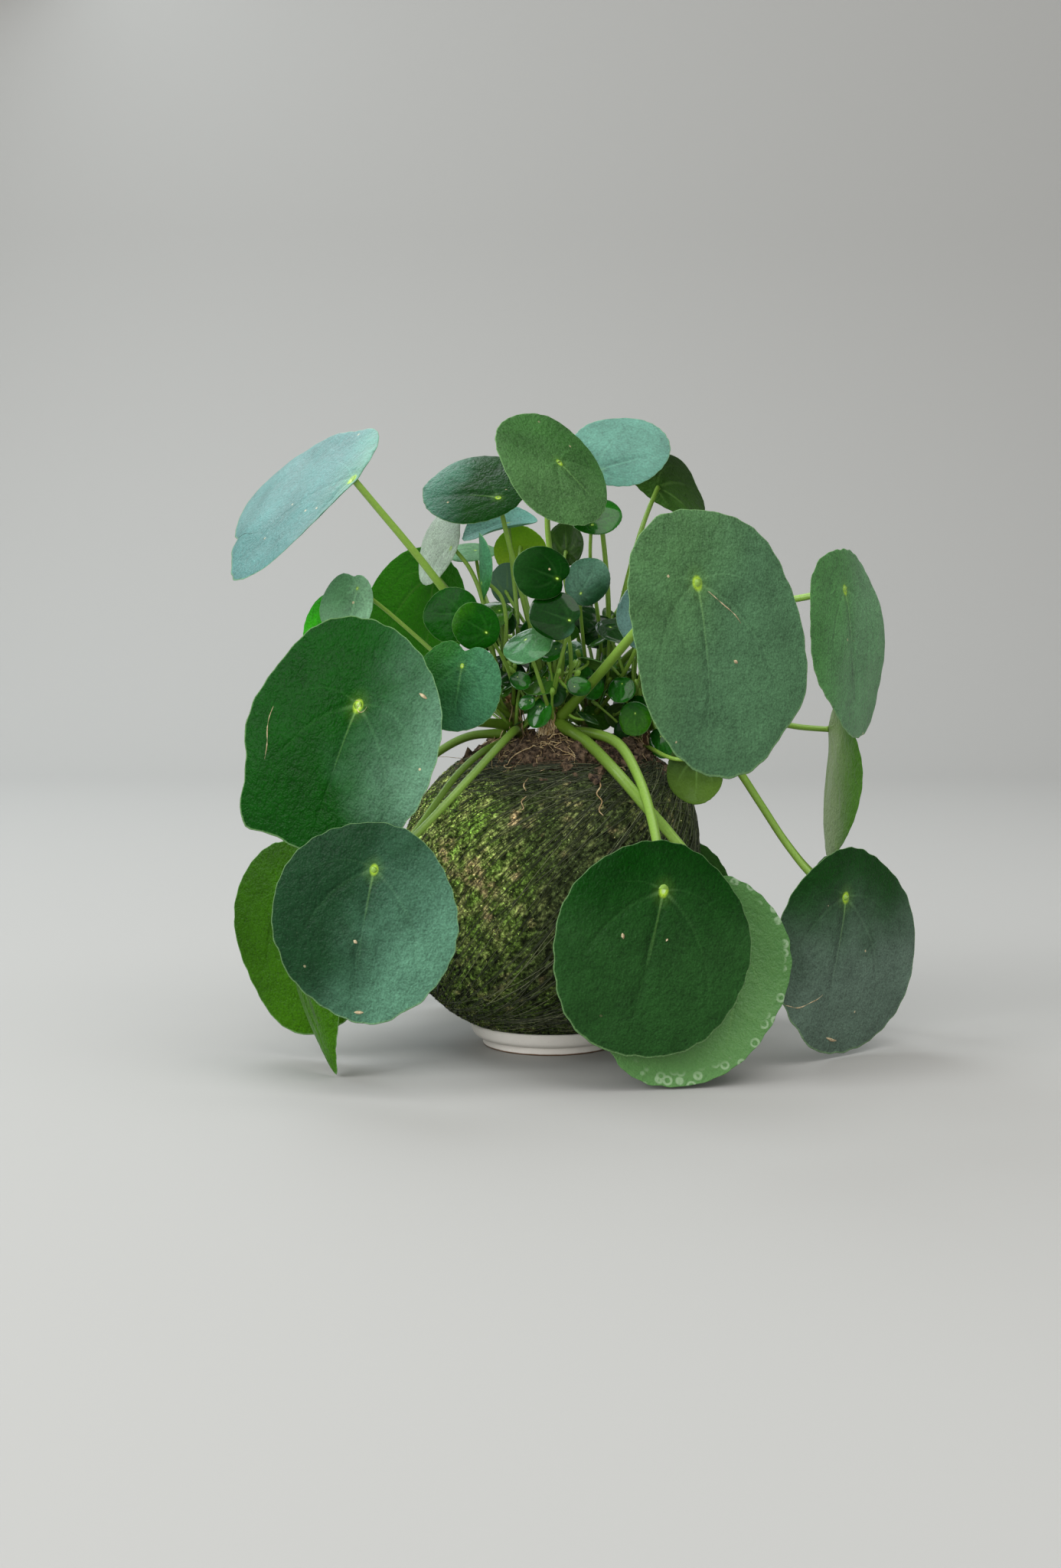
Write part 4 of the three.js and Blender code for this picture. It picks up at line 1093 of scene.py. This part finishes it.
def moss_skin():
    """Rings over the solid's profile: out over the ball from its foot to the opening, and back
    inside it deeper by the moss's depth. Noise of three sizes lifts the outside."""
    power = BALL["power"]
    end = math.acos((BALL["opening"] / BALL["radius"]) ** (power / 2))
    angle = np.linspace(-np.pi / 2, end, MOSS_STEPS)
    radius = BALL["radius"] * np.clip(np.cos(angle), 0, 1) ** (2 / power)
    share = np.clip(radius / BALL["radius"], 0, 1)
    height = BALL["half_height"] * (1 - share ** power) ** (1 / power) * np.sign(angle)
    outside = turned(radius[1:], BALL["centre_z"] + height[1:], MOSS_SEGMENTS)
    outside[..., 0] += top_shift(outside[..., 2])
    lift = moss_lift(outside.reshape(-1, 3)).reshape(outside.shape[:2])
    lifted = outside + unit(outside - BALL_CENTRE) * lift[..., None]
    lifted[..., 2] = np.maximum(lifted[..., 2], MOSS_FOOT)
    inside = outside[::6][::-1]
    inside = inside - MOSS_DEPTH * unit(inside - BALL_CENTRE)
    rings = np.concatenate([lifted, inside])
    return lidded(rings, moss_tint=moss_colours(rings))


# %% The moss's leaflets
HIGHEST_LEAFLET = 0.80
LOWEST_LEAFLET = 13
LEAFLET_SIDES = ([0, 2, 1], [0, 1, 3], [1, 2, 3], [2, 0, 3])


def moss_leaflets(count):
    """Tiny pointed leaflets, each a closed pyramid on three corners. Its root stands just under
    the skin at a random direction, more often where the moss grows thick, and its tip lies out
    and to one side."""
    direction = unit(chance.normal(size=(count, 3)))
    point = ball_point(direction)
    growth = moss_growth(point)
    keep = (direction[:, 2] < HIGHEST_LEAFLET) & (point[:, 2] > LOWEST_LEAFLET)
    keep &= chance.random(count) < 0.25 + 0.75 * growth
    direction, point, growth = direction[keep], point[keep], growth[keep]
    count = len(point)
    sideways = unit(np.cross(direction, chance.normal(size=(count, 3))))
    length = (0.5 + 0.5 * growth * chance.random(count) + 0.4 * chance.random(count))[:, None]
    outward = 0.3 + 0.6 * growth[:, None] * chance.random((count, 1))
    lean = unit(direction * outward + sideways * 0.8)
    wide = (0.15 + 0.18 * chance.random(count))[:, None]
    root = point + direction * (moss_lift(point) - 0.05)[:, None]
    across = unit(np.cross(lean, direction))
    below = unit(np.cross(across, lean))
    corners = np.stack([root - across * wide, root + across * wide, root - below * wide * 0.8,
                        root + lean * length], 1)
    corners[..., 2] = np.maximum(corners[..., 2], LOWEST_LEAFLET - 0.8)
    tone = (0.4 + 3.6 * chance.random(count) ** 4)[:, None] * (0.75, 0.75, 0.75, 1)
    tint = moss_colours(corners, 0.6) * tone.reshape(-1, 1)
    base = (np.arange(count) * 4)[:, None]
    faces = np.concatenate([base + np.array(one) for one in LEAFLET_SIDES])
    return shape(corners, [faces], moss_tint=tint)


# %% The moss's material
def moss_finish():
    """The mark's colour, varied by a fine noise that also lifts the surface."""
    m = Finish("damp moss", 0.9, Specular_IOR_Level=0.2)
    place = m.object_place()
    crumbs = m.noise(place, 620.0, 3.0, 0.65)
    tufts = m.noise(place, 640.0, 2.0)
    m.colour(m.scaled(m.mark("moss_tint", "Vector"), 0.35 + crumbs.step(0.42, 0.66) * 1.5 + tufts * 0.3))
    m.bump(crumbs + tufts, 0.0010, 0.9)
    return m.material


DAMP_MOSS = moss_finish()
TRIED_LEAFLETS = 60000
moss = mesh_piece("moss_skin", moss_skin(), [DAMP_MOSS], ["moss_wrap"])
for layer in ("first", "second", "third"):
    fur = moss_leaflets(TRIED_LEAFLETS)
    leaflets = mesh_piece(f"moss_leaflets_{layer}", fur, [DAMP_MOSS], smooth=False)
print("moss faces:", len(moss.data.polygons), "leaflet faces of a layer:", len(leaflets.data.polygons))

# %% [markdown]
# ## The thread
# One long dark thread winds round and round the ball and holds the moss. Each turn is nearly a
# circle tilted by about fifty degrees, and the next is turned on a little. The rising half of
# each turn shows on the outside and the falling half lies deeper in the moss, so the front shows
# lines from lower left to upper right. More turns run level round the opening.


# %% Turns of thread
THREAD_RADIUS = 0.18
THREAD_STEPS = 120
DIAGONAL_TURNS = 240
LEVEL_TURNS = 14
THREAD_TILT = 51


def thread_turns(tilt, turn, rise, wander):
    """Closed loops on the ball: directions (cos a, sin a, rise) tilted about X, turned about Z,
    and wandering by small waves. The loop stands proud where it rises and deep where it falls."""
    count = len(tilt)
    angle = np.arange(THREAD_STEPS) * 2 * np.pi / THREAD_STEPS
    tilt, turn, rise = (np.reshape(one, (-1, 1)) for one in (tilt, turn, rise))
    wave = (np.sin(angle * 2 + chance.random((count, 1)) * ANY_TURN) * wander
            + np.sin(angle * 5 + chance.random((count, 1)) * ANY_TURN) * wander * 0.3)
    y = np.sin(angle) * np.cos(tilt) - (rise + wave) * np.sin(tilt)
    z = np.sin(angle) * np.sin(tilt) + (rise + wave) * np.cos(tilt)
    x = np.broadcast_to(np.cos(angle), y.shape)
    loops = unit(np.stack([x * np.cos(turn) - y * np.sin(turn), x * np.sin(turn) + y * np.cos(turn), z], -1))
    proud = np.where(np.sin(tilt) > 0.3, soft_step(x, -0.35, 0.1), 1.0)
    under = ball_point(loops).reshape(-1, 3)
    lumps = (moss_lift(under) - 0.3 * moss_growth(under)).reshape(loops.shape[:2])
    return ball_point(loops, -0.8 + 1.2 * proud + lumps), loops


diagonal = thread_turns(
    np.radians(chance.normal(THREAD_TILT, 3.5, DIAGONAL_TURNS)),
    np.arange(DIAGONAL_TURNS) * 2 * np.pi / DIAGONAL_TURNS + chance.normal(0, 0.03, DIAGONAL_TURNS),
    chance.normal(0, 0.05, DIAGONAL_TURNS), 0.012)
level = thread_turns(
    np.radians(chance.normal(0, 5, LEVEL_TURNS)), chance.random(LEVEL_TURNS) * ANY_TURN,
    np.linspace(0.62, 1.28, LEVEL_TURNS), 0.01)
paths, outward = (np.concatenate(pair) for pair in zip(diagonal, level))
# painted sheen: a random few of the turns are painted pale
worn = chance.random((len(paths), 1)) ** 3
thread = strands(paths, THREAD_RADIUS, 3, outward, closed=True, worn=worn)


def thread_finish():
    """Dark green polyester, a little shiny, with a fine twist. Some turns are painted pale, as a painted
    sheen where the thread catches the light.
    """
    m = Finish("binding thread", 0.5)
    twist = m.noise(m.object_place(), 700.0, 2.0)
    m.colour(m.scaled(m.mark("worn").mix(linear("28301e"), linear("7c8260")), 0.4 + twist * 1.2))
    return m.material


winding = mesh_piece("fine_thread", thread, [thread_finish()], ["thread_winding"])
print("thread faces:", len(winding.data.polygons))

# %% [markdown]
# ## Soil in the opening
# The moss is open at the top, and a mound of dark crumbly soil stands there. It is a bumpy
# surface with crumbs strewn on it and pale rootlets that wander over it.


# %% The mound
SOIL = {"lip_radius": 49.6, "lip_z": 143.5, "top_z": 157}
SOIL_LUMPS = ((5.5, 8.5), (3.2, 3.1), (1.6, 1.4))
SOIL_UNDER_MOSS = 6.6
SOIL_SEGMENTS = 200


def soil_height(x, y):
    """The mound's height: lip + (top - lip) (1 - (distance / lip radius)^4), with lumps."""
    share = np.clip(np.hypot(x - TOP_LEAN, y) / SOIL["lip_radius"], 0, 1)
    flat = np.stack([x, y, np.zeros_like(x)], -1)
    lumps = sum(high * (cloud(flat, size) - 0.5) for high, size in SOIL_LUMPS)
    rise = (SOIL["top_z"] - SOIL["lip_z"]) * (1 - share ** 4)
    return SOIL["lip_z"] + rise + lumps * (1 - 0.6 * share)


def soil_ball():
    """The mound on top, the ball's inside below: one turned surface with a lid at both ends."""
    power = BALL["power"]
    angle = np.linspace(-1.4, 0.72, 40)
    level = np.cos(angle)
    radius = (BALL["radius"] - SOIL_UNDER_MOSS) * level ** (2 / power)
    height = (1 - level ** 2) ** (1 / power) * np.sign(angle) * (BALL["half_height"] - SOIL_UNDER_MOSS)
    side = turned(radius, BALL["centre_z"] + height, SOIL_SEGMENTS)
    side[..., 0] += top_shift(side[..., 2])
    reach = SOIL["lip_radius"] * np.linspace(1, 0, 60)[:-1]
    mound = turned(reach, 0 * reach, SOIL_SEGMENTS)
    mound[..., 0] += TOP_LEAN
    mound[..., 2] = soil_height(mound[..., 0], mound[..., 1])
    return lidded(np.concatenate([side, mound]))


print("the mound's height at its middle, in mm:", soil_height(np.array([TOP_LEAN]), np.zeros(1)).round(1))

# %% Crumbs and rootlets
CRUMB = np.array([(0, 0, 1), (1, 0, 0), (0, 1, 0), (-1, 0, 0), (0, -1, 0), (0, 0, -1)], float)
CRUMB_FACES = np.array([
    (0, 1, 2), (0, 2, 3), (0, 3, 4), (0, 4, 1), (5, 2, 1), (5, 3, 2), (5, 4, 3), (5, 1, 4)])


def crumbs(count, size):
    """Small uneven lumps of eight faces strewn over the mound and a little past its lip, where
    a noise leaves more and more of them out."""
    lip = SOIL["lip_radius"]
    far = lip * 1.14 * chance.random(count) ** 0.5
    angle = chance.random(count) * 2 * np.pi
    x, y = TOP_LEAN + far * np.cos(angle), far * np.sin(angle)
    past_lip = SOIL["lip_z"] - 0.9 * np.maximum(far - lip, 0) + 0.4
    middle = np.stack([x, y, np.where(far < lip, soil_height(x, y) + 0.2, past_lip)], -1)
    middle = middle[cloud(middle, 9) > 0.42 * soft_step(far, 0.9 * lip, 1.1 * lip)]
    count = len(middle)
    scale = size * (0.35 + chance.random((count, 1, 1)) ** 2) * (0.6 + 0.8 * chance.random((count, 6, 1)))
    spin = np.linalg.qr(chance.normal(size=(count, 3, 3)))[0]
    spin *= np.sign(np.linalg.det(spin))[:, None, None]
    points = middle[:, None] + (CRUMB * scale) @ spin
    faces = (np.arange(count)[:, None, None] * len(CRUMB) + CRUMB_FACES).reshape(-1, 3)
    return shape(points, [faces])


def rootlets(count, length, thick, lift):
    """Thin roots that wander over the mound: steps whose heading turns by small random amounts."""
    steps = 14
    heading = chance.random((count, 1)) * ANY_TURN + np.cumsum(chance.normal(0, 0.45, (count, steps)), 1)
    step = length * (0.5 + chance.random((count, 1))) / steps
    far = SOIL["lip_radius"] * 0.92 * chance.random(count) ** 0.7
    angle = chance.random(count) * 2 * np.pi
    x = (TOP_LEAN + far * np.cos(angle))[:, None] + np.cumsum(np.cos(heading) * step, 1)
    y = (far * np.sin(angle))[:, None] + np.cumsum(np.sin(heading) * step, 1)
    z = soil_height(x, y) + lift * (0.3 + np.sin(np.linspace(0, np.pi, steps)) * chance.random((count, 1)))
    radii = thick * (0.5 + chance.random((count, 1))) * np.linspace(1, 0.45, steps)
    return strands(np.stack([x, y, z], -1), radii, 4, (0, 0, 1))


# %% The soil's pieces
DARK_SOIL = earth_finish("dark soil", "211710", "7c6650", 420.0)
PALE_ROOT = earth_finish("pale rootlets", "96794e", "d8c296", 500.0, 0.8)
mesh_piece("soil_mound", soil_ball(), [DARK_SOIL], ["root_ball"])
strewn = together([crumbs(5000, 0.9), crumbs(1200, 2.0), crumbs(420, 3.4)])
mesh_piece("soil_crumbs", strewn, [DARK_SOIL], smooth=False)
HANGING_ROOTS = (
    ((22, -54, 141), (24, -58, 137), (22, -61.5, 133.5), (24.5, -63, 130), (23, -66, 126), (25, -67, 123.5)),
    ((-10, -52, 141), (-13, -57, 137), (-11, -60, 133), (-14, -63, 130), (-13, -65, 127), (-14, -66, 126)),
)
HANGING_RADIUS = 0.42 * np.linspace(1, 0.6, 30)
hanging = [strands(smooth_path(places, 30)[None], HANGING_RADIUS, 5, (0, 1, 0)) for places in HANGING_ROOTS]
roots = together([rootlets(150, 16, 0.2, 1.6), rootlets(50, 24, 0.3, 2.4), *hanging])
mesh_piece("soil_rootlets", roots, [PALE_ROOT])
print("crumbs on the soil:", len(strewn["points"]) // len(CRUMB))


# %% [markdown]
# ## Woody stems
# Old stems of this plant are brown and rough, with a ring at each place where a leaf has dropped.
# The middle one is young and papery, with tan scales and hair roots. A stem is a tube whose
# radius swells at the rings, in the place of the solid stem.


# %% Stems, their rings and scales
FORWARD = (0, 1, 0.1)
BELOW_SOIL = 12
PAPER = 1


def stem_tube(stem, number):
    """A tube from below the soil to the stem's top: the bark's radius, plus a ring of
    0.3 |sin|^6 mm for each dropped leaf, times 0.95 and a soft noise of two sizes."""
    steps, sides = 60, 36
    length = np.linalg.norm(stem_axis(stem, 1) - stem_axis(stem, 0))
    t = np.linspace(-BELOW_SOIL / length, 1, steps)
    path = stem_axis(stem, t[:, None])
    leaf_rings = 0.3 * np.abs(np.sin(t * 17 + number)) ** 6
    made = strands(path[None], bark_radius(stem, np.clip(t, 0, 1)) + leaf_rings, sides, FORWARD)
    rings = made["points"].reshape(steps, sides, 3)
    rough = 0.95 + 0.12 * (cloud(rings, 2.6) - 0.5) + 0.10 * (cloud(rings, 1.1) - 0.5)
    made["points"] = (path[:, None] + (rings - path[:, None]) * rough[..., None]).reshape(-1, 3)
    return made


def scales(stem, count, start, size):
    """Papery scales on a stem: narrow pointed leaves of four corners and a spine, thin and
    closed, that stand up along the bark and lean out."""
    share = start + (1.02 - start) * chance.random(count)
    axis = stem_axis(stem, share[:, None])
    way = unit(stem_axis(stem, 1) - stem_axis(stem, 0))
    angle = chance.random(count) * 2 * np.pi
    out = unit(np.stack([np.cos(angle), np.sin(angle), np.zeros(count)], -1))
    side = np.cross(way, out)
    length = (size * (0.5 + chance.random(count)))[:, None]
    wide = length * 0.28
    root = axis + out * stem["radius"] * 0.86
    outward = 0.25 + 0.5 * chance.random((count, 1))
    lean = unit(way + out * outward + side * chance.normal(0, 0.3, (count, 1)))
    middle = root + lean * length * 0.5 + out * 0.3
    corners = np.stack([
        root - side * wide * 0.7, root + side * wide * 0.7, middle + side * wide, root + lean * length,
        middle - side * wide, middle + out * 0.35, root + out * 0.3], 1)
    base = (np.arange(count) * 7)[:, None]
    front = ([0, 6, 4], [4, 6, 5], [6, 1, 2], [6, 2, 5], [4, 5, 3], [5, 2, 3])
    back = ([0, 4, 1], [1, 4, 2], [4, 3, 2], [0, 1, 6])
    faces = np.concatenate([base + np.array(one)[::-1] for one in (*front, *back)])
    return shape(corners, [faces], PAPER)


BROWN_BARK = earth_finish("brown bark", "4a3022", "8d6a4a", 330.0, 0.85)
GREEN_BARK = earth_finish("green bark", "3d3f1a", "6f7032", 330.0, 0.8)
TAN_BARK = earth_finish("tan bark", "7a5a34", "c29e68", 330.0, 0.8)
TAN_PAPER = earth_finish("tan papery scales", "94693f", "dcbc86", 500.0, 0.8)
BARKS = {"left": GREEN_BARK, "centre": TAN_BARK, "back": GREEN_BARK, "right": BROWN_BARK}
for number, (name, stem) in enumerate(STEMS.items()):
    shapes = [stem_tube(stem, number)]
    if name == "centre":
        shapes += [scales(stem, 46, 0.35, 5.5), scales(stem, 16, 0.86, 9)]
    else:
        shapes += [scales(stem, 22, 0.6, 5.5)]
    mesh_piece(f"{name}_stem_bark", together(shapes), [BARKS[name], TAN_PAPER], [f"{name}_stem"])
print("stems made:", len(STEMS))


# %% Hair roots
ROOT_END_Z = 148


def hair_roots(stem, count, middle=0.0, fan=3.14):
    """Roots that hang from a stem's bark into the soil: from a point on the bark out a little,
    and down with small turns. They stand within a fan to both sides of a middle angle."""
    steps = 12
    t = np.linspace(0, 1, steps)
    angle = middle + (2 * chance.random((count, 1)) - 1) * fan
    start = 0.25 + 0.7 * chance.random((count, 1))
    axis = stem_axis(stem, start)
    drop = axis[:, 2:] - ROOT_END_Z
    far = stem["radius"] + 0.2 + (2.5 + 5 * chance.random((count, 1))) * t ** 1.5
    turn = angle + np.cumsum(chance.normal(0, 0.12, (count, steps)), 1)
    x = axis[:, :1] + far * np.cos(turn)
    y = axis[:, 1:2] + far * np.sin(turn)
    z = axis[:, 2:] - drop * t ** 1.2
    return strands(np.stack([x, y, z], -1), 0.26 * np.linspace(1, 0.6, steps), 4, (1, 0.2, 0))


PALE_HAIR = earth_finish("pale hair roots", "a88858", "e8d6ac", 500.0, 0.8)
hairs = [hair_roots(STEMS["centre"], 120, middle=3.8, fan=0.9)]
hairs += [hair_roots(STEMS["left"], 18), hair_roots(STEMS["right"], 16)]
mesh_piece("hair_roots", together(hairs), [PALE_HAIR])
print("corners of the hair roots:", sum(len(one["points"]) for one in hairs))

# %% [markdown]
# ## Crowns
# Each stem ends in a green tip with young leaves on short stalks. They are the same shapes as the
# grown leaves, only small, and so come from the same formulas.


# %% Young leaves and bare stalks
SHOOT_LOOKS = ("young", "deep", "bright", "olive")


def shoots(name, stem, count, far, rise, size):
    """Rows for more young leaves round a stem, each at a random angle, far out and above the
    stem's top by random amounts between two limits, facing outward and up."""
    rows = []
    top = stem_axis(stem, 1)
    for angle in (np.arange(count) + chance.random(count) * 0.8) * 2 * np.pi / count:
        out = chance.uniform(*far)
        place = top + np.array([np.cos(angle) * out, np.sin(angle) * out, chance.uniform(*rise)])
        compass = math.degrees(math.atan2(np.cos(angle), -np.sin(angle))) + chance.uniform(-40, 40)
        long = chance.uniform(*size)
        look = SHOOT_LOOKS[chance.integers(4)]
        facing = (compass, chance.uniform(5, 65), chance.uniform(-80, 80))
        outline = (long, long * chance.uniform(0.78, 0.95), 0.3, 0.5)
        bend = (chance.uniform(14, 34), 10)
        set_out = (chance.uniform(-1.5, 0.6), chance.uniform(-30, 30), 56)
        rows.append(LeafRow(look, name, place, facing, outline, bend, set_out))
    return rows


def bare_stalks(stem, count):
    """Thin stalks with folded buds: each sets out from the bark, bows up and swells at its end."""
    steps = 16
    t = np.linspace(0, 1, steps)
    angle = chance.random((count, 1)) * 2 * np.pi
    axis = stem_axis(stem, 0.15 + 0.8 * chance.random((count, 1)))
    reach = 8 + 16 * chance.random((count, 1))
    far = stem["radius"] * 0.7 + reach * t ** (0.8 + chance.random((count, 1)))
    rise = (10 + 26 * chance.random((count, 1))) * t ** 1.3
    sway = angle + chance.normal(0, 0.3, (count, 1)) * t
    x = axis[:, :1] + far * np.cos(sway)
    y = axis[:, 1:2] + far * np.sin(sway)
    z = axis[:, 2:] + rise
    bud = 0.9 * np.exp(-(((t - 0.95) / 0.06) ** 2))
    wide = (0.7 + 0.35 * chance.random((count, 1))) * (1.1 - 0.35 * t + bud)
    return strands(np.stack([x, y, z], -1), wide, 6, (0.3, 1, 0.1), kind=STALK, way_along=t[None])


# %% Crowns
BARE_STALKS = 16
TIP_STEPS = 12


def crown(name, stem):
    """The tip, a tapering tube of radius 0.8 to 0.3 of the stem's, its bare stalks, and its young
    leaves: those of the table, a ring of low ones and a ring of high ones."""
    top = stem_axis(stem, 1)
    way = unit(top - stem_axis(stem, 0))
    rise = np.linspace(0.1, stem["tip"], TIP_STEPS)
    radius = stem["radius"] * (0.8 - 0.5 * (rise / stem["tip"]) ** 1.5)
    along = np.linspace(0, 1, TIP_STEPS)
    tip = strands((top + way * rise[:, None])[None], radius, 20, FORWARD, kind=STALK, way_along=along)
    young = [row for row in YOUNG_LEAVES if row.stem == name]
    young += shoots(name, stem, 7, (8, 22), (-20, 6), (7, 19))
    young += shoots(name, stem, 11, (4, 22), (4, 42), (12, 22))
    parts = [tip, bare_stalks(stem, BARE_STALKS)]
    for number, row in enumerate(young, len(LEAVES)):
        centre = top + way * row.stalk[0] * stem["tip"]
        parts += [blade(row, number), stalk(row, centre, 0.0)]
    return together(parts)


YOUNG_STALK = stalk_finish("young stalk", "5c7426", "7da63c")
for name, stem in STEMS.items():
    made = crown(name, stem)
    mesh_piece(f"{name}_crown_tip", made, [YOUNG_LEAF, YOUNG_STALK], [f"{name}_crown"])
print("crowns made:", len(STEMS))

# %% [markdown]
# ## The saucer
# A small turned saucer of warm-white pottery carries the ball. A profile turned about the middle
# gives it: foot, step, band and rim, each edge rounded by a small bevel in the profile.


# %% The turned saucer
SAUCER_PROFILE = (
    (33.2, 0.0), (34.0, 0.7), (34.1, 3.4), (34.6, 4.1), (36.2, 4.4), (38.2, 5.6), (39.4, 7.4),
    (40.2, 10.2), (40.2, 11.2), (39.7, 11.8), (39.0, 11.4), (38.0, 10.0), (35.6, 8.0),
    (31.0, 5.4), (26.0, 4.7), (14.0, 4.6),
)
SAUCER_TOP = 11.8
SAUCER_SEGMENTS = 160


def saucer():
    """The profile from the foot over the rim into the dish, rounded and turned."""
    radius, _, height = smooth_path([(r, 0, z) for r, z in SAUCER_PROFILE], 90).T
    return lidded(turned(radius, np.clip(height, 0, SAUCER_TOP), SAUCER_SEGMENTS))


def pottery_finish():
    """Matt warm-white glaze with faint specks, and bare brown clay at the foot's edge."""
    m = Finish("warm white pottery", 0.55)
    place = m.object_place()
    height = m.axes(place)[2]
    glaze = m.noise(place, 260.0, 3.0)
    speck = m.noise(place, 1300.0, 1.0).step(0.70, 0.76)
    white = m.scaled(m.node("ShaderNodeCombineXYZ", {}, list(linear("f2ede5"))), 0.94 + glaze * 0.1)
    colour = (speck * 0.3).mix(white, linear("b09a80"))
    foot = (height + (glaze - 0.5) * 0.0004).step(0.0011, 0.0006)
    m.colour(foot.mix(colour, linear("7d6148")))
    m.bump(glaze, 0.0003, 0.4)
    return m.material


dish = mesh_piece("turned_saucer", saucer(), [pottery_finish()], ["saucer"])
print("corners of the saucer:", len(dish.data.vertices))

# %% [markdown]
# ## Floor, light and camera
# A plain pale sweep stands for the floor, and wide soft lights do what a big window does. The
# camera stands where the photograph was taken from, 1.1 metres off with a 50 mm lens.


# %% The stage
def stage_floor():
    """A wide floor that bends up into a wall behind: y and z follow a quarter circle."""
    bend = np.linspace(0, np.pi / 2, 24)
    y = np.concatenate([[-4.0], 1.6 + 0.8 * np.sin(bend), [2.4]]) * 1000
    z = np.concatenate([[0.0], 0.8 - 0.8 * np.cos(bend), [4.0]]) * 1000
    x = np.array([-5000.0, 5000.0])
    grid = np.stack(np.broadcast_arrays(x[None], y[:, None], z[:, None]), -1)
    index = np.arange(grid.size // 3).reshape(-1, 2)
    walls = np.stack([index[:-1, 0], index[:-1, 1], index[1:, 1], index[1:, 0]], -1)
    paint = Finish("pale stage", 0.9)
    paint.colour(linear("a9a8a5"))
    floor = mesh_object("stage_floor", shape(grid, [walls]), [paint.material])


def soft_light(name, place, aim, size, power, colour, mirrored=True):
    """A square area light at a place, turned towards its aim. One that isn't mirrored lights
    the matt part of a surface alone, as a wall's wide glow does, and leaves no highlight."""
    light = bpy.data.lights.new(name, "AREA")
    light.shape, light.size, light.energy, light.color = "SQUARE", size, power, colour
    lamp = scene_object(name, light)
    lamp.location = place
    lamp.visible_glossy = mirrored
    way = np.array(aim, float) - np.array(place, float)
    flat = math.hypot(way[0], way[1])
    lamp.rotation_euler = (math.atan2(flat, -way[2]), 0, math.atan2(way[1], way[0]) - math.pi / 2)


stage_floor()
soft_light("window_left", (-1.9, -1.0, 1.2), (0, 0, 0.12), 1.3, 38, (0.97, 0.99, 1.0))
soft_light("window_front", (-0.5, -2.6, 0.7), (0, 0, 0.1), 2.2, 34, (1.0, 0.99, 0.97), False)
soft_light("window_behind", (-1.0, 1.35, 1.9), (0, 0, 0.2), 1.8, 34, (0.88, 0.96, 1.0))
soft_light("ceiling", (0.6, -0.6, 2.6), (0, 0.2, 0), 2.6, 46, (1.0, 0.99, 0.97))
sky = bpy.data.worlds.new("even_light")
sky.use_nodes = True
glow = sky.node_tree.nodes["Background"].inputs
glow["Color"].default_value = (0.93, 0.94, 0.95, 1)
glow["Strength"].default_value = 0.4
bpy.context.scene.world = sky
bpy.context.scene.view_settings.view_transform = "Standard"
print("lights:", len(bpy.data.lights))

# %% The camera
lens = bpy.data.cameras.new("photo_camera")
lens.lens, lens.sensor_fit, lens.sensor_height = 50, "VERTICAL", 36
lens.clip_start, lens.clip_end = 0.01, 100
camera = scene_object("photo_camera", lens)
camera.location = (-0.0097, -1.1, 0.229)
camera.rotation_euler = (math.radians(85), 0, 0)
bpy.context.scene.camera = camera
print("camera at, in metres:", tuple(round(part, 4) for part in camera.location))
